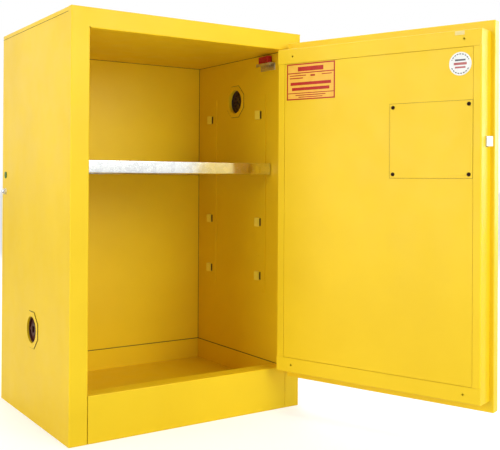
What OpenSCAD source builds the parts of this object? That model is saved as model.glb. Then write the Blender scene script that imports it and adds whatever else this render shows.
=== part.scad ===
// Flammable liquids storage cabinet, under-counter size.
// Double-walled sheet steel with an air space all round, one self-supporting shelf,
// a leak-proof sump, two bunged vents, an earthing stud and one right-hung door on a
// full-height piano hinge with a paddle latch and a key lock.
// Millimetres, +Z up. The origin is on the floor under the middle of the carcass,
// and the front of the carcass faces -Y.

/* [Carcass] */
// Overall width of the carcass
body_w = 575; // [540:5:700]
// Overall depth of the carcass, without the door
body_d = 450; // [420:5:600]
// Overall height
body_h = 889; // [860:1:1000]
// Thickness of every steel sheet
sheet = 1.2; // [0.9:0.1:1.5]
// Air space between the outer and inner walls, measured outside to inside face
wall = 40; // [38:1:46]
// Height of the front rail over the opening
rail_h = 42; // [38:1:60]
// Height of the kick plate, which is the height of the door sill
sill_h = 98; // [90:1:120]
// Depth of the leak-proof sump below the sill
sump_d = 52; // [50:1:60]

/* [Shelf] */
// Height of the shelf's top surface
shelf_z = 580; // [578:1:582]
// Height of the shelf's front lip
shelf_lip = 28; // [20:1:32]
// Vertical spacing of the shelf lugs
lug_pitch = 133; // [110:1:136]

/* [Vents] */
// Height of the low vent in the left side
vent_low_z = 202; // [190:1:240]
// Height of the high vent in the right side
vent_high_z = 742; // [700:1:760]
// Distance of both vents from the front
vent_y = 226; // [200:1:260]

/* [Door] */
// Angle at which the door stands open
door_open = 109; // [0:1:178]
// Depth of the door's outer shell
shell_t = 22; // [20:0.5:22]
// Depth of the inner box that enters the opening
box_t = 40; // [30:1:42]
// Width of the door's overlap on the latch side
lap_side = 8; // [6:1:20]

/* [Parts] */
// Draw one named part, or all of them

/* [Hidden] */
e = 0.01;
gap = 0.3;
open_l = wall;
open_r = body_w - wall;
open_b = sill_h;
open_t = body_h - rail_h;
back_y = body_d - wall + 2;
return_d = 25;
cap_flange = 8.3;
cap_front = 17;
sump_z = sill_h - sump_d;

// Door, in the closed position. The hinge axis stands in front of the opening's right edge.
hinge_x = open_r - 0.6;
hinge_y = -12.2;
knuckle_r = 3.6;
pin_r = 1.5;
pin_play = 0.05;
knuckles = 29;
knuckle_gap = 0.4;
hinge_z0 = open_b + 7;
hinge_z1 = open_t - 5;
pitch = (hinge_z1 - hinge_z0) / knuckles;
skin_l = open_l - lap_side;
skin_r = hinge_x - 4;
skin_b = open_b - 18;
skin_t = open_t + 13;
lip_y = -1;
skin_y = lip_y - shell_t;
box_l = open_l + 3.7;
slope = 2.6;
box_r = skin_r;
box_b = open_b + 3;
box_top = open_t - 8;
chan_free = 16.5;
chan_hinge = 18.5;
chan_top = 34;
chan_bot = 33;
seam = 0.6;
panel_l = box_l + chan_free + seam;
panel_r = box_r - chan_hinge - seam;
panel_b = box_b + chan_bot + seam;
panel_t = box_top - chan_top - seam;
plate_t = 1;
plate_l = panel_l + 0.5;
plate_r = plate_l + 181;
plate_b = box_b + 444;
plate_t_z = plate_b + 154;
plug_in = 7.5;

latch_z = box_b + 517;
bolt_h = 20;
bolt_t = 10;
bolt_y = 9;
bolt_throw = 12;
bolt_len = 66;

dish_x = skin_l + 76;
dish_w = 96;
dish_h = 132;
dish_d = 24;
bezel = 9;
bezel_t = 2.2;
paddle_w = dish_w - 2 * bezel - 5;
paddle_top = latch_z + dish_h / 2 - bezel - 4;
paddle_axis_y = skin_y + 5;
paddle_axis_z = paddle_top - 5;
lock_z = latch_z - 36;

flange_af = 80;
bung_r = 29.6;
bung_play = 0.08;
earth_y = 425;
earth_z = 508;
mark_y = 424;
mark_z = 547.5;

paint = [0.96, 0.79, 0.16];
zinc = [0.8, 0.8, 0.78];
steel = [0.66, 0.66, 0.64];
dark = [0.22, 0.1, 0.07];

// The carcass stands with its footprint centred on the origin.
module place() translate([-body_w / 2, -body_d / 2, 0]) children();

// Everything on the door turns about the hinge pin.
module on_door() place() translate([hinge_x, hinge_y, 0]) rotate([0, 0, door_open])
    translate([-hinge_x, -hinge_y, 0]) children();

// A box from one corner to the opposite corner.
module slab(a, b) translate(a) cube([b[0] - a[0], b[1] - a[1], b[2] - a[2]]);

// A rod along X from a to b.
module rod_x(a, b, y, z, r) translate([a, y, z]) rotate([0, 90, 0]) cylinder(h = b - a, r = r);

// A rod along Y from a to b.
module rod_y(a, b, x, z, r) translate([x, a, z]) rotate([-90, 0, 0]) cylinder(h = b - a, r = r);

// A regular octagon along X, flats upright and level, width af across flats.
module oct_x(a, b, y, z, af) translate([a, y, z]) rotate([0, 90, 0])
    rotate([0, 0, 22.5]) cylinder(h = b - a, r = af / 2 / cos(22.5), $fn = 8);

// Hexagon along X for nuts, width af across flats.
module hex_x(a, b, y, z, af) translate([a, y, z]) rotate([0, 90, 0])
    cylinder(h = b - a, r = af / 2 / cos(30), $fn = 6);

// Mirrors a left-hand part to the right side of the carcass.
module to_right() translate([body_w, 0, 0]) mirror([1, 0, 0]) children();

// Side panel, front stile and its return, folded from one sheet.
module side(vent_z) {
    difference() {
        union() {
            slab([0, 0, 0], [sheet, body_d, body_h - sheet - cap_flange - gap]);
            slab([0, 0, 0], [sheet, cap_front, body_h - sheet]);
            slab([0, 0, 0], [wall, sheet, body_h - sheet]);
            slab([wall - sheet, 0, 0], [wall, return_d, body_h - sheet]);
        }
        rod_x(-e, sheet + e, vent_y, vent_z, bung_r + 5);
        slab([wall - 2.4, -e, open_t], [wall + e, 2.4, open_t + 2.4]);
        slab([wall - 2.4, -e, open_b - 2.4], [wall + e, 2.4, open_b]);
    }
}

module side_left() color(paint) place() difference() {
    side(vent_low_z);
    rod_x(-e, sheet + e, mark_y, mark_z, 4.2);
    rod_x(-e, sheet + e, earth_y, earth_z, 4.2);
    slab([wall - sheet - e, bolt_y - 1.5, latch_z - bolt_h / 2 - 2],
         [wall + e, bolt_y + bolt_t + 1.5, latch_z + bolt_h / 2 + 2]);
}

module side_right() color(paint) place() to_right() side(vent_high_z);

module back_panel() color(paint) place()
    slab([sheet, body_d - sheet, 0], [body_w - sheet, body_d, body_h - sheet - cap_flange - gap]);

// Cap with down-turned edges at the sides and back.
module top_panel() color(paint) place() {
    z = body_h - sheet;
    slab([0, 0, z], [body_w, body_d, body_h]);
    for (x = [0, body_w - sheet])
        slab([x, cap_front + gap, z - cap_flange], [x + sheet, body_d, z + e]);
    slab([0, body_d - sheet, z - cap_flange], [body_w, body_d, z + e]);
}

// Floor tray that carries the carcass, with turned-up edges, notched round the stiles' returns.
module base_panel() color(paint) place() {
    x0 = sheet;
    x1 = body_w - sheet;
    y0 = sheet + gap;
    y1 = body_d - sheet;
    difference() {
        slab([x0, y0, 0], [x1, y1, sheet]);
        for (x = [wall - sheet, body_w - wall])
            slab([x - gap, -e, -e], [x + sheet + gap, return_d + gap, sheet + e]);
    }
    for (x = [x0, x1 - sheet]) slab([x, return_d + gap, 0], [x + sheet, y1, 22]);
    slab([x0, y1 - sheet, 0], [x1, y1, 22]);
}

// Front rail with its return over the opening.
module top_rail() color(paint) place() {
    slab([open_l, 0, open_t], [open_r, sheet, body_h - sheet]);
    slab([open_l, 0, open_t], [open_r, return_d, open_t + sheet]);
}

// Kick plate, flush between the stiles, folded back into the sill.
module kick_plate() color(paint) place() {
    slab([open_l + 0.6, 0, 0], [open_r - 0.6, sheet, open_b]);
    slab([open_l + 0.6, 0, open_b - sheet], [open_r - 0.6, wall - 2, open_b]);
}

// Inner side wall with the hole for the vent's inner flange.
module liner_side(vent_z) difference() {
    slab([wall - sheet, return_d, sump_z - sheet], [wall, back_y, open_t]);
    rod_x(wall - sheet - e, wall + e, vent_y, vent_z, bung_r + 5);
}

module liner_left() color(paint) place() liner_side(vent_low_z);
module liner_right() color(paint) place() to_right() liner_side(vent_high_z);

module liner_back() color(paint) place()
    slab([wall - sheet, back_y, sump_z - sheet], [body_w - wall + sheet, back_y + sheet, open_t]);

module liner_ceiling() color(paint) place()
    slab([wall - sheet, return_d, open_t], [body_w - wall + sheet, back_y + sheet, open_t + sheet]);

// Liquid-tight pan in the bottom of the cabinet.
module sump_pan() color(paint) place() difference() {
    slab([open_l + gap, wall - 2 + gap, sump_z - sheet], [open_r - gap, back_y - gap, open_b]);
    slab([open_l + gap + sheet, wall - 2 + gap + sheet, sump_z],
         [open_r - gap - sheet, back_y - gap - sheet, open_b + e]);
}

// Two hat channels that carry the pan on the base tray.
module sump_bearers() color(paint) place() for (x = [150, body_w - 210]) {
    z1 = sump_z - sheet;
    slab([x, 60, sheet], [x + sheet, back_y - 20, z1]);
    slab([x + 60 - sheet, 60, sheet], [x + 60, back_y - 20, z1]);
    slab([x, 60, z1 - sheet], [x + 60, back_y - 20, z1]);
}

// Vertical strip on the inner wall with four pushed-out lugs that carry the shelf.
strip_w = 40;
strip_z0 = 262;
strip_z1 = 752;
lug_w = 15;
lug_h = 22;
lug_out = 9;
lug_top = shelf_z - sheet - gap;
module standard(y) {
    slab([wall, y, strip_z0], [wall + 1.6, y + strip_w, strip_z1]);
    for (i = [-2:1]) {
        z = lug_top + i * lug_pitch;
        ly = y + strip_w / 2 - lug_w / 2 + 8;
        slab([wall + 1.5, ly, z - lug_h], [wall + 1.6 + lug_out, ly + 3, z]);
        slab([wall + 1.5, ly, z - 3], [wall + 1.6 + lug_out, ly + lug_w, z]);
        slab([wall + 1.6 + lug_out - 2.5, ly, z - lug_h], [wall + 1.6 + lug_out, ly + lug_w, z]);
        slab([wall + 1.5, ly, z - lug_h], [wall + 1.6 + lug_out, ly + lug_w, z - lug_h + 2.5]);
    }
}
std_front = 85;
std_back = 317;
module standard_front_left() color(paint) place() standard(std_front);
module standard_back_left() color(paint) place() standard(std_back);
module standard_front_right() color(paint) place() to_right() standard(std_front);
module standard_back_right() color(paint) place() to_right() standard(std_back);

// Stiffening plate behind the left stile's return, with the slot the bolt enters.
module strike_plate() color(zinc) place() difference() {
    slab([wall - sheet - 2, 3, latch_z - 38], [wall - sheet, return_d, latch_z + 38]);
    slab([wall - sheet - 2 - e, bolt_y - 1, latch_z - bolt_h / 2 - 1.2],
         [wall - sheet + e, bolt_y + bolt_t + 1, latch_z + bolt_h / 2 + 1.2]);
}

// Vent fittings, drawn for the left side. Outside face of the side panel is X = 0.
module vent_flange(z) color(paint) difference() {
    union() {
        oct_x(-1.5, 0, vent_y, z, flange_af);
        rod_x(-1.5, 14, vent_y, z, bung_r + 4.8);
    }
    rod_x(-2, 12, vent_y, z, bung_r);
    rod_x(11, 15, vent_y, z, bung_r - 4);
}
module vent_seal(z) color([0.1, 0.1, 0.1]) difference() {
    rod_x(10.6, 12, vent_y, z, bung_r - 0.4);
    rod_x(10, 13, vent_y, z, bung_r - 4);
}
module vent_duct(z) color(steel) difference() {
    rod_x(14, wall - 8, vent_y, z, bung_r + 2);
    rod_x(14 - e, wall - 8 + e, vent_y, z, bung_r + 0.4);
}
module vent_inner(z) color(paint) difference() {
    union() {
        oct_x(wall, wall + 1.5, vent_y, z, flange_af);
        rod_x(wall - 8, wall + 1.5, vent_y, z, bung_r + 4.8);
    }
    rod_x(wall - 9, wall + 2, vent_y, z, bung_r + 0.4);
}
// Perforated flame arrester disc inside the duct.
module vent_arrester(z) color(steel) difference() {
    rod_x(wall - 12, wall - 10.5, vent_y, z, bung_r + 0.4);
    rod_x(wall - 13, wall - 10, vent_y, z, 3);
    for (k = [1:2], i = [0:6 * k - 1])
        rod_x(wall - 13, wall - 10, vent_y + 9.5 * k * cos(60 * i / k),
              z + 9.5 * k * sin(60 * i / k), 3);
}
// Bung with a square drive recess and two drive lugs.
module vent_plug(z) color(dark) {
    r = bung_r - bung_play;
    difference() {
        rod_x(2.5, 10.3, vent_y, z, r);
        rod_x(2, 6.5, vent_y, z, r - 4);
    }
    difference() {
        rod_x(3.2, 10.3, vent_y, z, 12);
        slab([2, vent_y - 7, z - 7], [8, vent_y + 7, z + 7]);
    }
    for (s = [-1, 1]) slab([4, vent_y + s * 17.5 - 6.6, z - 3], [9.6, vent_y + s * 17.5 + 6.6, z + 3]);
}
module vent_flange_low() place() vent_flange(vent_low_z);
module vent_seal_low() place() vent_seal(vent_low_z);
module vent_duct_low() place() vent_duct(vent_low_z);
module vent_arrester_low() place() vent_arrester(vent_low_z);
module vent_inner_low() place() vent_inner(vent_low_z);
module vent_plug_low() place() vent_plug(vent_low_z);
module vent_flange_high() place() to_right() vent_flange(vent_high_z);
module vent_seal_high() place() to_right() vent_seal(vent_high_z);
module vent_duct_high() place() to_right() vent_duct(vent_high_z);
module vent_arrester_high() place() to_right() vent_arrester(vent_high_z);
module vent_inner_high() place() to_right() vent_inner(vent_high_z);
module vent_plug_high() place() to_right() vent_plug(vent_high_z);

// Earthing stud through the left side near the back, with nuts and washers both sides.
stud_r = 4;
stud_out = 9.6;
nut_t = 3.6;
module earth_stud() color(zinc) place() {
    rod_x(-stud_out, -1.4 - nut_t, earth_y, earth_z, stud_r);
    rod_x(-1.4 - nut_t - e, 11, earth_y, earth_z, stud_r - 0.6);
}
module earth_washers() color(zinc) place() for (x = [-1.2, sheet]) difference() {
    rod_x(x, x + 1.2, earth_y, earth_z, 8);
    rod_x(x - e, x + 1.2 + e, earth_y, earth_z, stud_r + 0.2);
}
module earth_nuts() color(zinc) place() for (x = [-1.2 - nut_t, sheet + 1.2]) difference() {
    hex_x(x, x + nut_t, earth_y, earth_z, 13);
    rod_x(x - e, x + nut_t + e, earth_y, earth_z, stud_r - 0.55);
}

// Green push-in disc that marks the earthing point.
module earth_marker() color([0.15, 0.4, 0.1]) place() {
    rod_x(-1.2, 0, mark_y, mark_z, 8);
    rod_x(-e, 6, mark_y, mark_z, 3.9);
}

// Plated bracket high on the right inner wall, and the red block clipped above it.
module link_bracket() color(zinc) place() to_right() {
    slab([wall, 47, open_t - 40], [wall + 1.5, 107, open_t - 20]);
    slab([wall, 47, open_t - 24], [wall + 16, 107, open_t - 22.5]);
    slab([wall + 14.5, 47, open_t - 30], [wall + 16, 107, open_t - 22.5]);
}
module link_block() color([0.7, 0.06, 0.08]) place() to_right()
    slab([wall + 1.7, 59, open_t - 22.3], [wall + 14, 99, open_t - 6]);

// Piano hinge. Even knuckles belong to the frame leaf, odd ones to the door leaf.
module knuckle_set(first, leaf_a, leaf_b, reach, far) {
    z0 = hinge_z0;
    for (i = [first:2:knuckles - 1]) {
        za = z0 + i * pitch + knuckle_gap / 2;
        zb = z0 + (i + 1) * pitch - knuckle_gap / 2;
        difference() {
            union() {
                translate([hinge_x, hinge_y, za]) cylinder(h = zb - za, r = knuckle_r);
                slab([leaf_a, min(hinge_y, reach), za], [leaf_b, max(hinge_y, reach), zb]);
            }
            translate([hinge_x, hinge_y, za - 1]) cylinder(h = zb - za + 2, r = pin_r + pin_play);
        }
    }
    slab([leaf_a, min(reach, far), z0], [leaf_b, max(reach, far), hinge_z1]);
}
leaf_f = open_r - sheet;
leaf_d = skin_r;
rivets = 10;
rivet_step = (hinge_z1 - hinge_z0 - 30) / (rivets - 1);
module hinge_leaf_frame() color(paint) place()
    knuckle_set(0, leaf_f, open_r, hinge_y + 4.2, 14);
module hinge_pin() color(zinc) place() translate([hinge_x, hinge_y, hinge_z0 - 1])
    cylinder(h = hinge_z1 - hinge_z0 + 2, r = pin_r);
module hinge_rivets_frame() color(steel) place() for (i = [0:rivets - 1])
    rod_x(leaf_f - 1, leaf_f, 7, hinge_z0 + 15 + i * rivet_step, 3);
module hinge_leaf_door() color(paint) on_door()
    knuckle_set(1, leaf_d, leaf_d + sheet, hinge_y - 4.2, skin_y + 1);
module hinge_rivets_door() color(steel) on_door() for (i = [0:rivets - 1])
    rod_x(leaf_d + sheet, leaf_d + sheet + 0.8, (hinge_y - 4.2 + skin_y + 1) / 2 - 0.2,
          hinge_z0 + 15 + i * rivet_step, 1.9);

// Shelf with front and back lips and two ribs just inside the lugs.
shelf_l = open_l + 2.2;
shelf_r = open_r - 2.2;
shelf_f = 62;
shelf_back = back_y - 2;
rib_in = 13;
module shelf() color(zinc) place() {
    slab([shelf_l, shelf_f, shelf_z - sheet], [shelf_r, shelf_back, shelf_z]);
    slab([shelf_l, shelf_f, shelf_z - shelf_lip], [shelf_r, shelf_f + sheet, shelf_z]);
    slab([shelf_l, shelf_f, shelf_z - shelf_lip], [shelf_r, shelf_f + 12, shelf_z - shelf_lip + sheet]);
    slab([shelf_l, shelf_back - sheet, shelf_z - shelf_lip], [shelf_r, shelf_back, shelf_z]);
    for (x = [open_l + rib_in, open_r - rib_in - sheet])
        slab([x, shelf_f, shelf_z - 20], [x + sheet, shelf_back, shelf_z - e]);
}

// Outer shell of the door: face, four edges and the lip that meets the frame.
module door_skin() color(paint) on_door() difference() {
    slab([skin_l, skin_y, skin_b], [skin_r, lip_y, skin_t]);
    slab([skin_l + sheet, skin_y + sheet, skin_b + sheet], [skin_r - sheet, lip_y - sheet, skin_t - sheet]);
    slab([box_l - slope + sheet, lip_y - 5, box_b + sheet], [box_r - sheet, lip_y + e, box_top - sheet]);
    slab([dish_x - dish_w / 2 + bezel - 1.5, skin_y - e, latch_z - dish_h / 2 + bezel - 1.5],
         [dish_x + dish_w / 2 - bezel + 1.5, skin_y + 5, latch_z + dish_h / 2 - bezel + 1.5]);
}

// Channels that form the rim of the inner box. Each is an edge and a narrow face.
module rim_x(x_edge, x_face, z0, z1) {
    slab([min(x_edge, x_face), box_t - sheet, z0], [max(x_edge, x_face), box_t, z1]);
    xe = x_edge < x_face ? x_edge : x_edge - sheet;
    slab([xe, lip_y, z0], [xe + sheet, box_t, z1]);
}
module rim_z(z_edge, z_face) {
    slab([box_l, box_t - sheet, min(z_edge, z_face)], [box_r, box_t, max(z_edge, z_face)]);
    ze = z_edge < z_face ? z_edge : z_edge - sheet;
    translate([0, 0, ze]) linear_extrude(sheet)
        polygon([[box_l - slope, lip_y], [box_l, box_t], [box_r, box_t], [box_r, lip_y]]);
}
module dimple(x, z) translate([x, box_t - 0.5, z]) rotate([-90, 0, 0]) cylinder(h = 1, r1 = 1.2, r2 = 2.2);
module door_channel_top() color(paint) on_door() difference() {
    rim_z(box_top, box_top - chan_top);
    for (x = [box_l + 36, box_r - 40]) dimple(x, box_top - 18);
}
module door_channel_bottom() color(paint) on_door() difference() {
    rim_z(box_b, box_b + chan_bot);
    for (x = [box_l + 36, box_r - 40]) dimple(x, box_b + 17);
}
module under_rims() {
    slab([box_l - 9, box_t - sheet - gap, box_b], [box_r + 9, box_t + e, box_b + chan_bot + gap]);
    slab([box_l - 9, box_t - sheet - gap, box_top - chan_top - gap], [box_r + 9, box_t + e, box_top]);
}
module door_channel_hinge() color(paint) on_door() difference() {
    rim_x(box_r, box_r - chan_hinge, box_b + sheet + gap, box_top - sheet - gap);
    under_rims();
}
module door_channel_free() color(paint) on_door() difference() {
    translate([0, 0, box_b + sheet + gap]) linear_extrude(box_top - box_b - 2 * sheet - 2 * gap)
        polygon([[box_l - slope, lip_y], [box_l, box_t], [box_l + chan_free, box_t],
                 [box_l + chan_free, box_t - sheet], [box_l + sheet, box_t - sheet],
                 [box_l - slope + sheet, lip_y]]);
    slab([box_l - slope - e, bolt_y - 0.8, latch_z - bolt_h / 2 - 0.8],
         [box_l + sheet + e, bolt_y + bolt_t + 0.8, latch_z + bolt_h / 2 + 0.8]);
    under_rims();
}

// The channels at the sides stop where the top and bottom channels' faces begin.
module door_panel() color(paint) on_door()
    slab([panel_l, box_t - 2 * sheet, panel_b], [panel_r, box_t - sheet + 0.6, panel_t]);

// Upright hat section inside the door, between the shell and the inner panel.
module door_stiffener() color(paint) on_door() {
    x = (panel_l + panel_r) / 2 + 60;
    slab([x, skin_y + sheet, box_b + 12], [x + sheet, box_t - 2 * sheet, box_top - 12]);
    slab([x + 50, skin_y + sheet, box_b + 12], [x + 50 + sheet, box_t - 2 * sheet, box_top - 12]);
    slab([x, skin_y + sheet, box_b + 12], [x + 50 + sheet, skin_y + 2 * sheet, box_top - 12]);
}

// Cover plate over the latch, held by four push-in plugs.
module access_plate() color(paint) on_door() difference() {
    slab([plate_l, box_t - sheet + 0.6, plate_b], [plate_r, box_t - sheet + 0.6 + plate_t, plate_t_z]);
    for (x = [plate_l + plug_in, plate_r - plug_in], z = [plate_b + plug_in, plate_t_z - plug_in])
        rod_y(box_t - 1, box_t + 3, x, z, 2.6);
}
module access_plugs() color([0.07, 0.07, 0.07]) on_door()
    for (x = [plate_l + plug_in, plate_r - plug_in], z = [plate_b + plug_in, plate_t_z - plug_in]) {
        rod_y(box_t - sheet + 0.6, box_t - sheet + 0.6 + plate_t + e, x, z, 2.5);
        rod_y(box_t - sheet + 0.6 + plate_t, box_t - sheet + plate_t + 1.8, x, z, 4);
    }

// Blank label, round sticker and small tag.
face_y = box_t - sheet + 0.6;
module door_label() color([0.98, 0.72, 0.25]) on_door()
    slab([box_r - 153, face_y, box_top - 118], [box_r - 25, face_y + 0.4, box_top - 36]);
module door_sticker() color([0.95, 0.95, 0.93]) on_door()
    rod_y(face_y, face_y + 0.4, box_l + 44, box_top - 67, 23.4);
module door_tag() color([0.9, 0.86, 0.7]) on_door()
    slab([box_l + 35, box_t, box_top - 10], [box_l + 55, box_t + 0.5, box_top - 2]);

// Latch case inside the door; the bolt slides in it.
module latch_case() color(zinc) on_door() difference() {
    slab([box_l + sheet + 0.6, bolt_y - 3, latch_z - bolt_h / 2 - 4],
         [box_l + 80, bolt_y + bolt_t + 3, latch_z + bolt_h / 2 + 4]);
    slab([box_l, bolt_y - 0.3, latch_z - bolt_h / 2 - 0.3],
         [box_l + 80 + e, bolt_y + bolt_t + 0.3, latch_z + bolt_h / 2 + 0.3]);
}

// Bolt with a sloping nose, so that the door slams shut.
module latch_bolt() color(zinc) on_door() {
    x0 = box_l - bolt_throw;
    x1 = x0 + bolt_len;
    y1 = bolt_y + bolt_t;
    translate([0, 0, latch_z - bolt_h / 2]) linear_extrude(bolt_h)
        polygon([[x0, bolt_y], [x1, bolt_y], [x1, y1], [x0 + bolt_t - 1, y1], [x0, bolt_y + 1]]);
}

// Recessed dish for the paddle, with a bezel on the face of the door.
module paddle_dish() color([0.12, 0.12, 0.12]) on_door() difference() {
    x0 = dish_x - dish_w / 2;
    x1 = dish_x + dish_w / 2;
    z0 = latch_z - dish_h / 2;
    z1 = latch_z + dish_h / 2;
    union() {
        slab([x0, skin_y - bezel_t, z0], [x1, skin_y, z1]);
        slab([x0 + bezel - 1.2, skin_y - e, z0 + bezel - 1.2],
             [x1 - bezel + 1.2, skin_y + dish_d, z1 - bezel + 1.2]);
    }
    slab([x0 + bezel, skin_y - bezel_t - e, z0 + bezel],
         [x1 - bezel, skin_y + dish_d - 1.2, z1 - bezel]);
    rod_y(skin_y, skin_y + dish_d + 1, dish_x, lock_z, 9.2);
    rod_x(x0, x1, paddle_axis_y, paddle_axis_z, 2.05);
}

// Paddle that is pulled by its lower edge; it turns on its own trunnions.
module paddle() color([0.14, 0.14, 0.14]) on_door() {
    x0 = dish_x - paddle_w / 2;
    x1 = dish_x + paddle_w / 2;
    slab([x0, skin_y - 1.2, latch_z - 14], [x1, skin_y + 1.8, paddle_top]);
    slab([x0, skin_y - 1.2, paddle_axis_z - 4], [x1, paddle_axis_y + 2, paddle_axis_z + 4]);
    slab([x0, skin_y - 1.2, latch_z - 14], [x1, skin_y + 3.5, latch_z - 11]);
    rod_x(x0 - 3.5, x1 + 3.5, paddle_axis_y, paddle_axis_z, 2);
}

// Cylinder lock below the paddle, and the plug that the key turns.
module lock_barrel() color(zinc) on_door() difference() {
    rod_y(skin_y + 2, skin_y + 34, dish_x, lock_z, 9);
    rod_y(skin_y + 1, skin_y + 33, dish_x, lock_z, 6.05);
}
module lock_plug() color(steel) on_door() difference() {
    rod_y(skin_y + 1.5, skin_y + 32.5, dish_x, lock_z, 6);
    slab([dish_x - 0.9, skin_y + 1, lock_z - 4], [dish_x + 0.9, skin_y + 12, lock_z + 4]);
}

$fn = 64;
side_left();
side_right();
back_panel();
top_panel();
base_panel();
top_rail();
kick_plate();
liner_left();
liner_right();
liner_back();
liner_ceiling();
sump_pan();
sump_bearers();
standard_front_left();
standard_back_left();
standard_front_right();
standard_back_right();
strike_plate();
vent_flange_low();
vent_seal_low();
vent_duct_low();
vent_arrester_low();
vent_inner_low();
vent_plug_low();
vent_flange_high();
vent_seal_high();
vent_duct_high();
vent_arrester_high();
vent_inner_high();
vent_plug_high();
earth_stud();
earth_nuts();
earth_washers();
earth_marker();
link_bracket();
link_block();
hinge_leaf_frame();
hinge_pin();
hinge_rivets_frame();
shelf();
door_skin();
door_channel_top();
door_channel_bottom();
door_channel_hinge();
door_channel_free();
door_panel();
door_stiffener();
access_plate();
access_plugs();
door_label();
door_sticker();
door_tag();
hinge_leaf_door();
hinge_rivets_door();
latch_case();
paddle_dish();
lock_barrel();
latch_bolt();
paddle();
lock_plug();
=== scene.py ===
"""Looks of the flammable liquids storage cabinet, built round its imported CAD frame.

Lengths are metres in the row frame: +Z up, origin on the floor under the middle of the
carcass, and the front of the carcass faces -Y. Pieces of the door are shaped with the door
closed and are then swung open to its rest angle.
"""

import logging
import math
from collections.abc import Callable, Iterator
from contextlib import contextmanager
from dataclasses import dataclass, field
from enum import Enum

import bmesh
import bpy
from mathutils import Matrix, Vector

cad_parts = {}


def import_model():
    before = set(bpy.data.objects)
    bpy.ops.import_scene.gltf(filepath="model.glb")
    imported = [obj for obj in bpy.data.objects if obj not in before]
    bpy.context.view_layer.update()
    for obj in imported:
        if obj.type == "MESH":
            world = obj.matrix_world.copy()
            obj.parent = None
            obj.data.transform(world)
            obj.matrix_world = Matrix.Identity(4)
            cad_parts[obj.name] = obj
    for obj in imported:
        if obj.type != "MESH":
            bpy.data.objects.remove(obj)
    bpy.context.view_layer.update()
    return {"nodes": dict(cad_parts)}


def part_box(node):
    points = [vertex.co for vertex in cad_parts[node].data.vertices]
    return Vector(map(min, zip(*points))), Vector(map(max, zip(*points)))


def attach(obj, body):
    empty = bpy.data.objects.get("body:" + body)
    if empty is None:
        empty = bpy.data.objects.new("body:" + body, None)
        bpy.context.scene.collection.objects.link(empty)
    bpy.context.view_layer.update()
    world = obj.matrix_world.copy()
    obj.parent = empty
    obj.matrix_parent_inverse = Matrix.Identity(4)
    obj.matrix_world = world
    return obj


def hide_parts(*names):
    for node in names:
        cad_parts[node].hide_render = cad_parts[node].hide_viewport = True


LOG = logging.getLogger("cabinet")
MM = 0.001
SHEET = 1.2  # gauge of the steel, in millimetres
FOLD = 2.2  # outer radius of a fold in it, in millimetres
Point = tuple[float, float, float]
Colour = tuple[float, float, float]
Test = Callable[[Vector, Vector], bool]


class Body(Enum):
    """The rigid bodies that pieces ride on."""

    CABINET = "cabinet"
    SHELF = "shelf"
    DOOR = "door"
    BOLT = "latch_bolt"
    PADDLE = "paddle"
    LOCK = "lock_plug"
    BUNG_LOW = "vent_plug_low"
    BUNG_HIGH = "vent_plug_high"


class Slot(Enum):
    """The record's material slots."""

    POWDER = "powder_coat"
    ZINC_SHEET = "zinc_sheet"
    ZINC_PLATE = "zinc_plate"
    LOCK = "lock_metal"
    BUNG = "bung_plastic"
    SEAL = "seal_rubber"
    BLACK = "black_plastic"
    BLACK_METAL = "black_metal"
    RED = "red_plastic"
    LABEL = "label_film"
    STICKER = "sticker_film"
    TAG = "tag_film"


# ---------------------------------------------------------------- finishes


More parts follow.
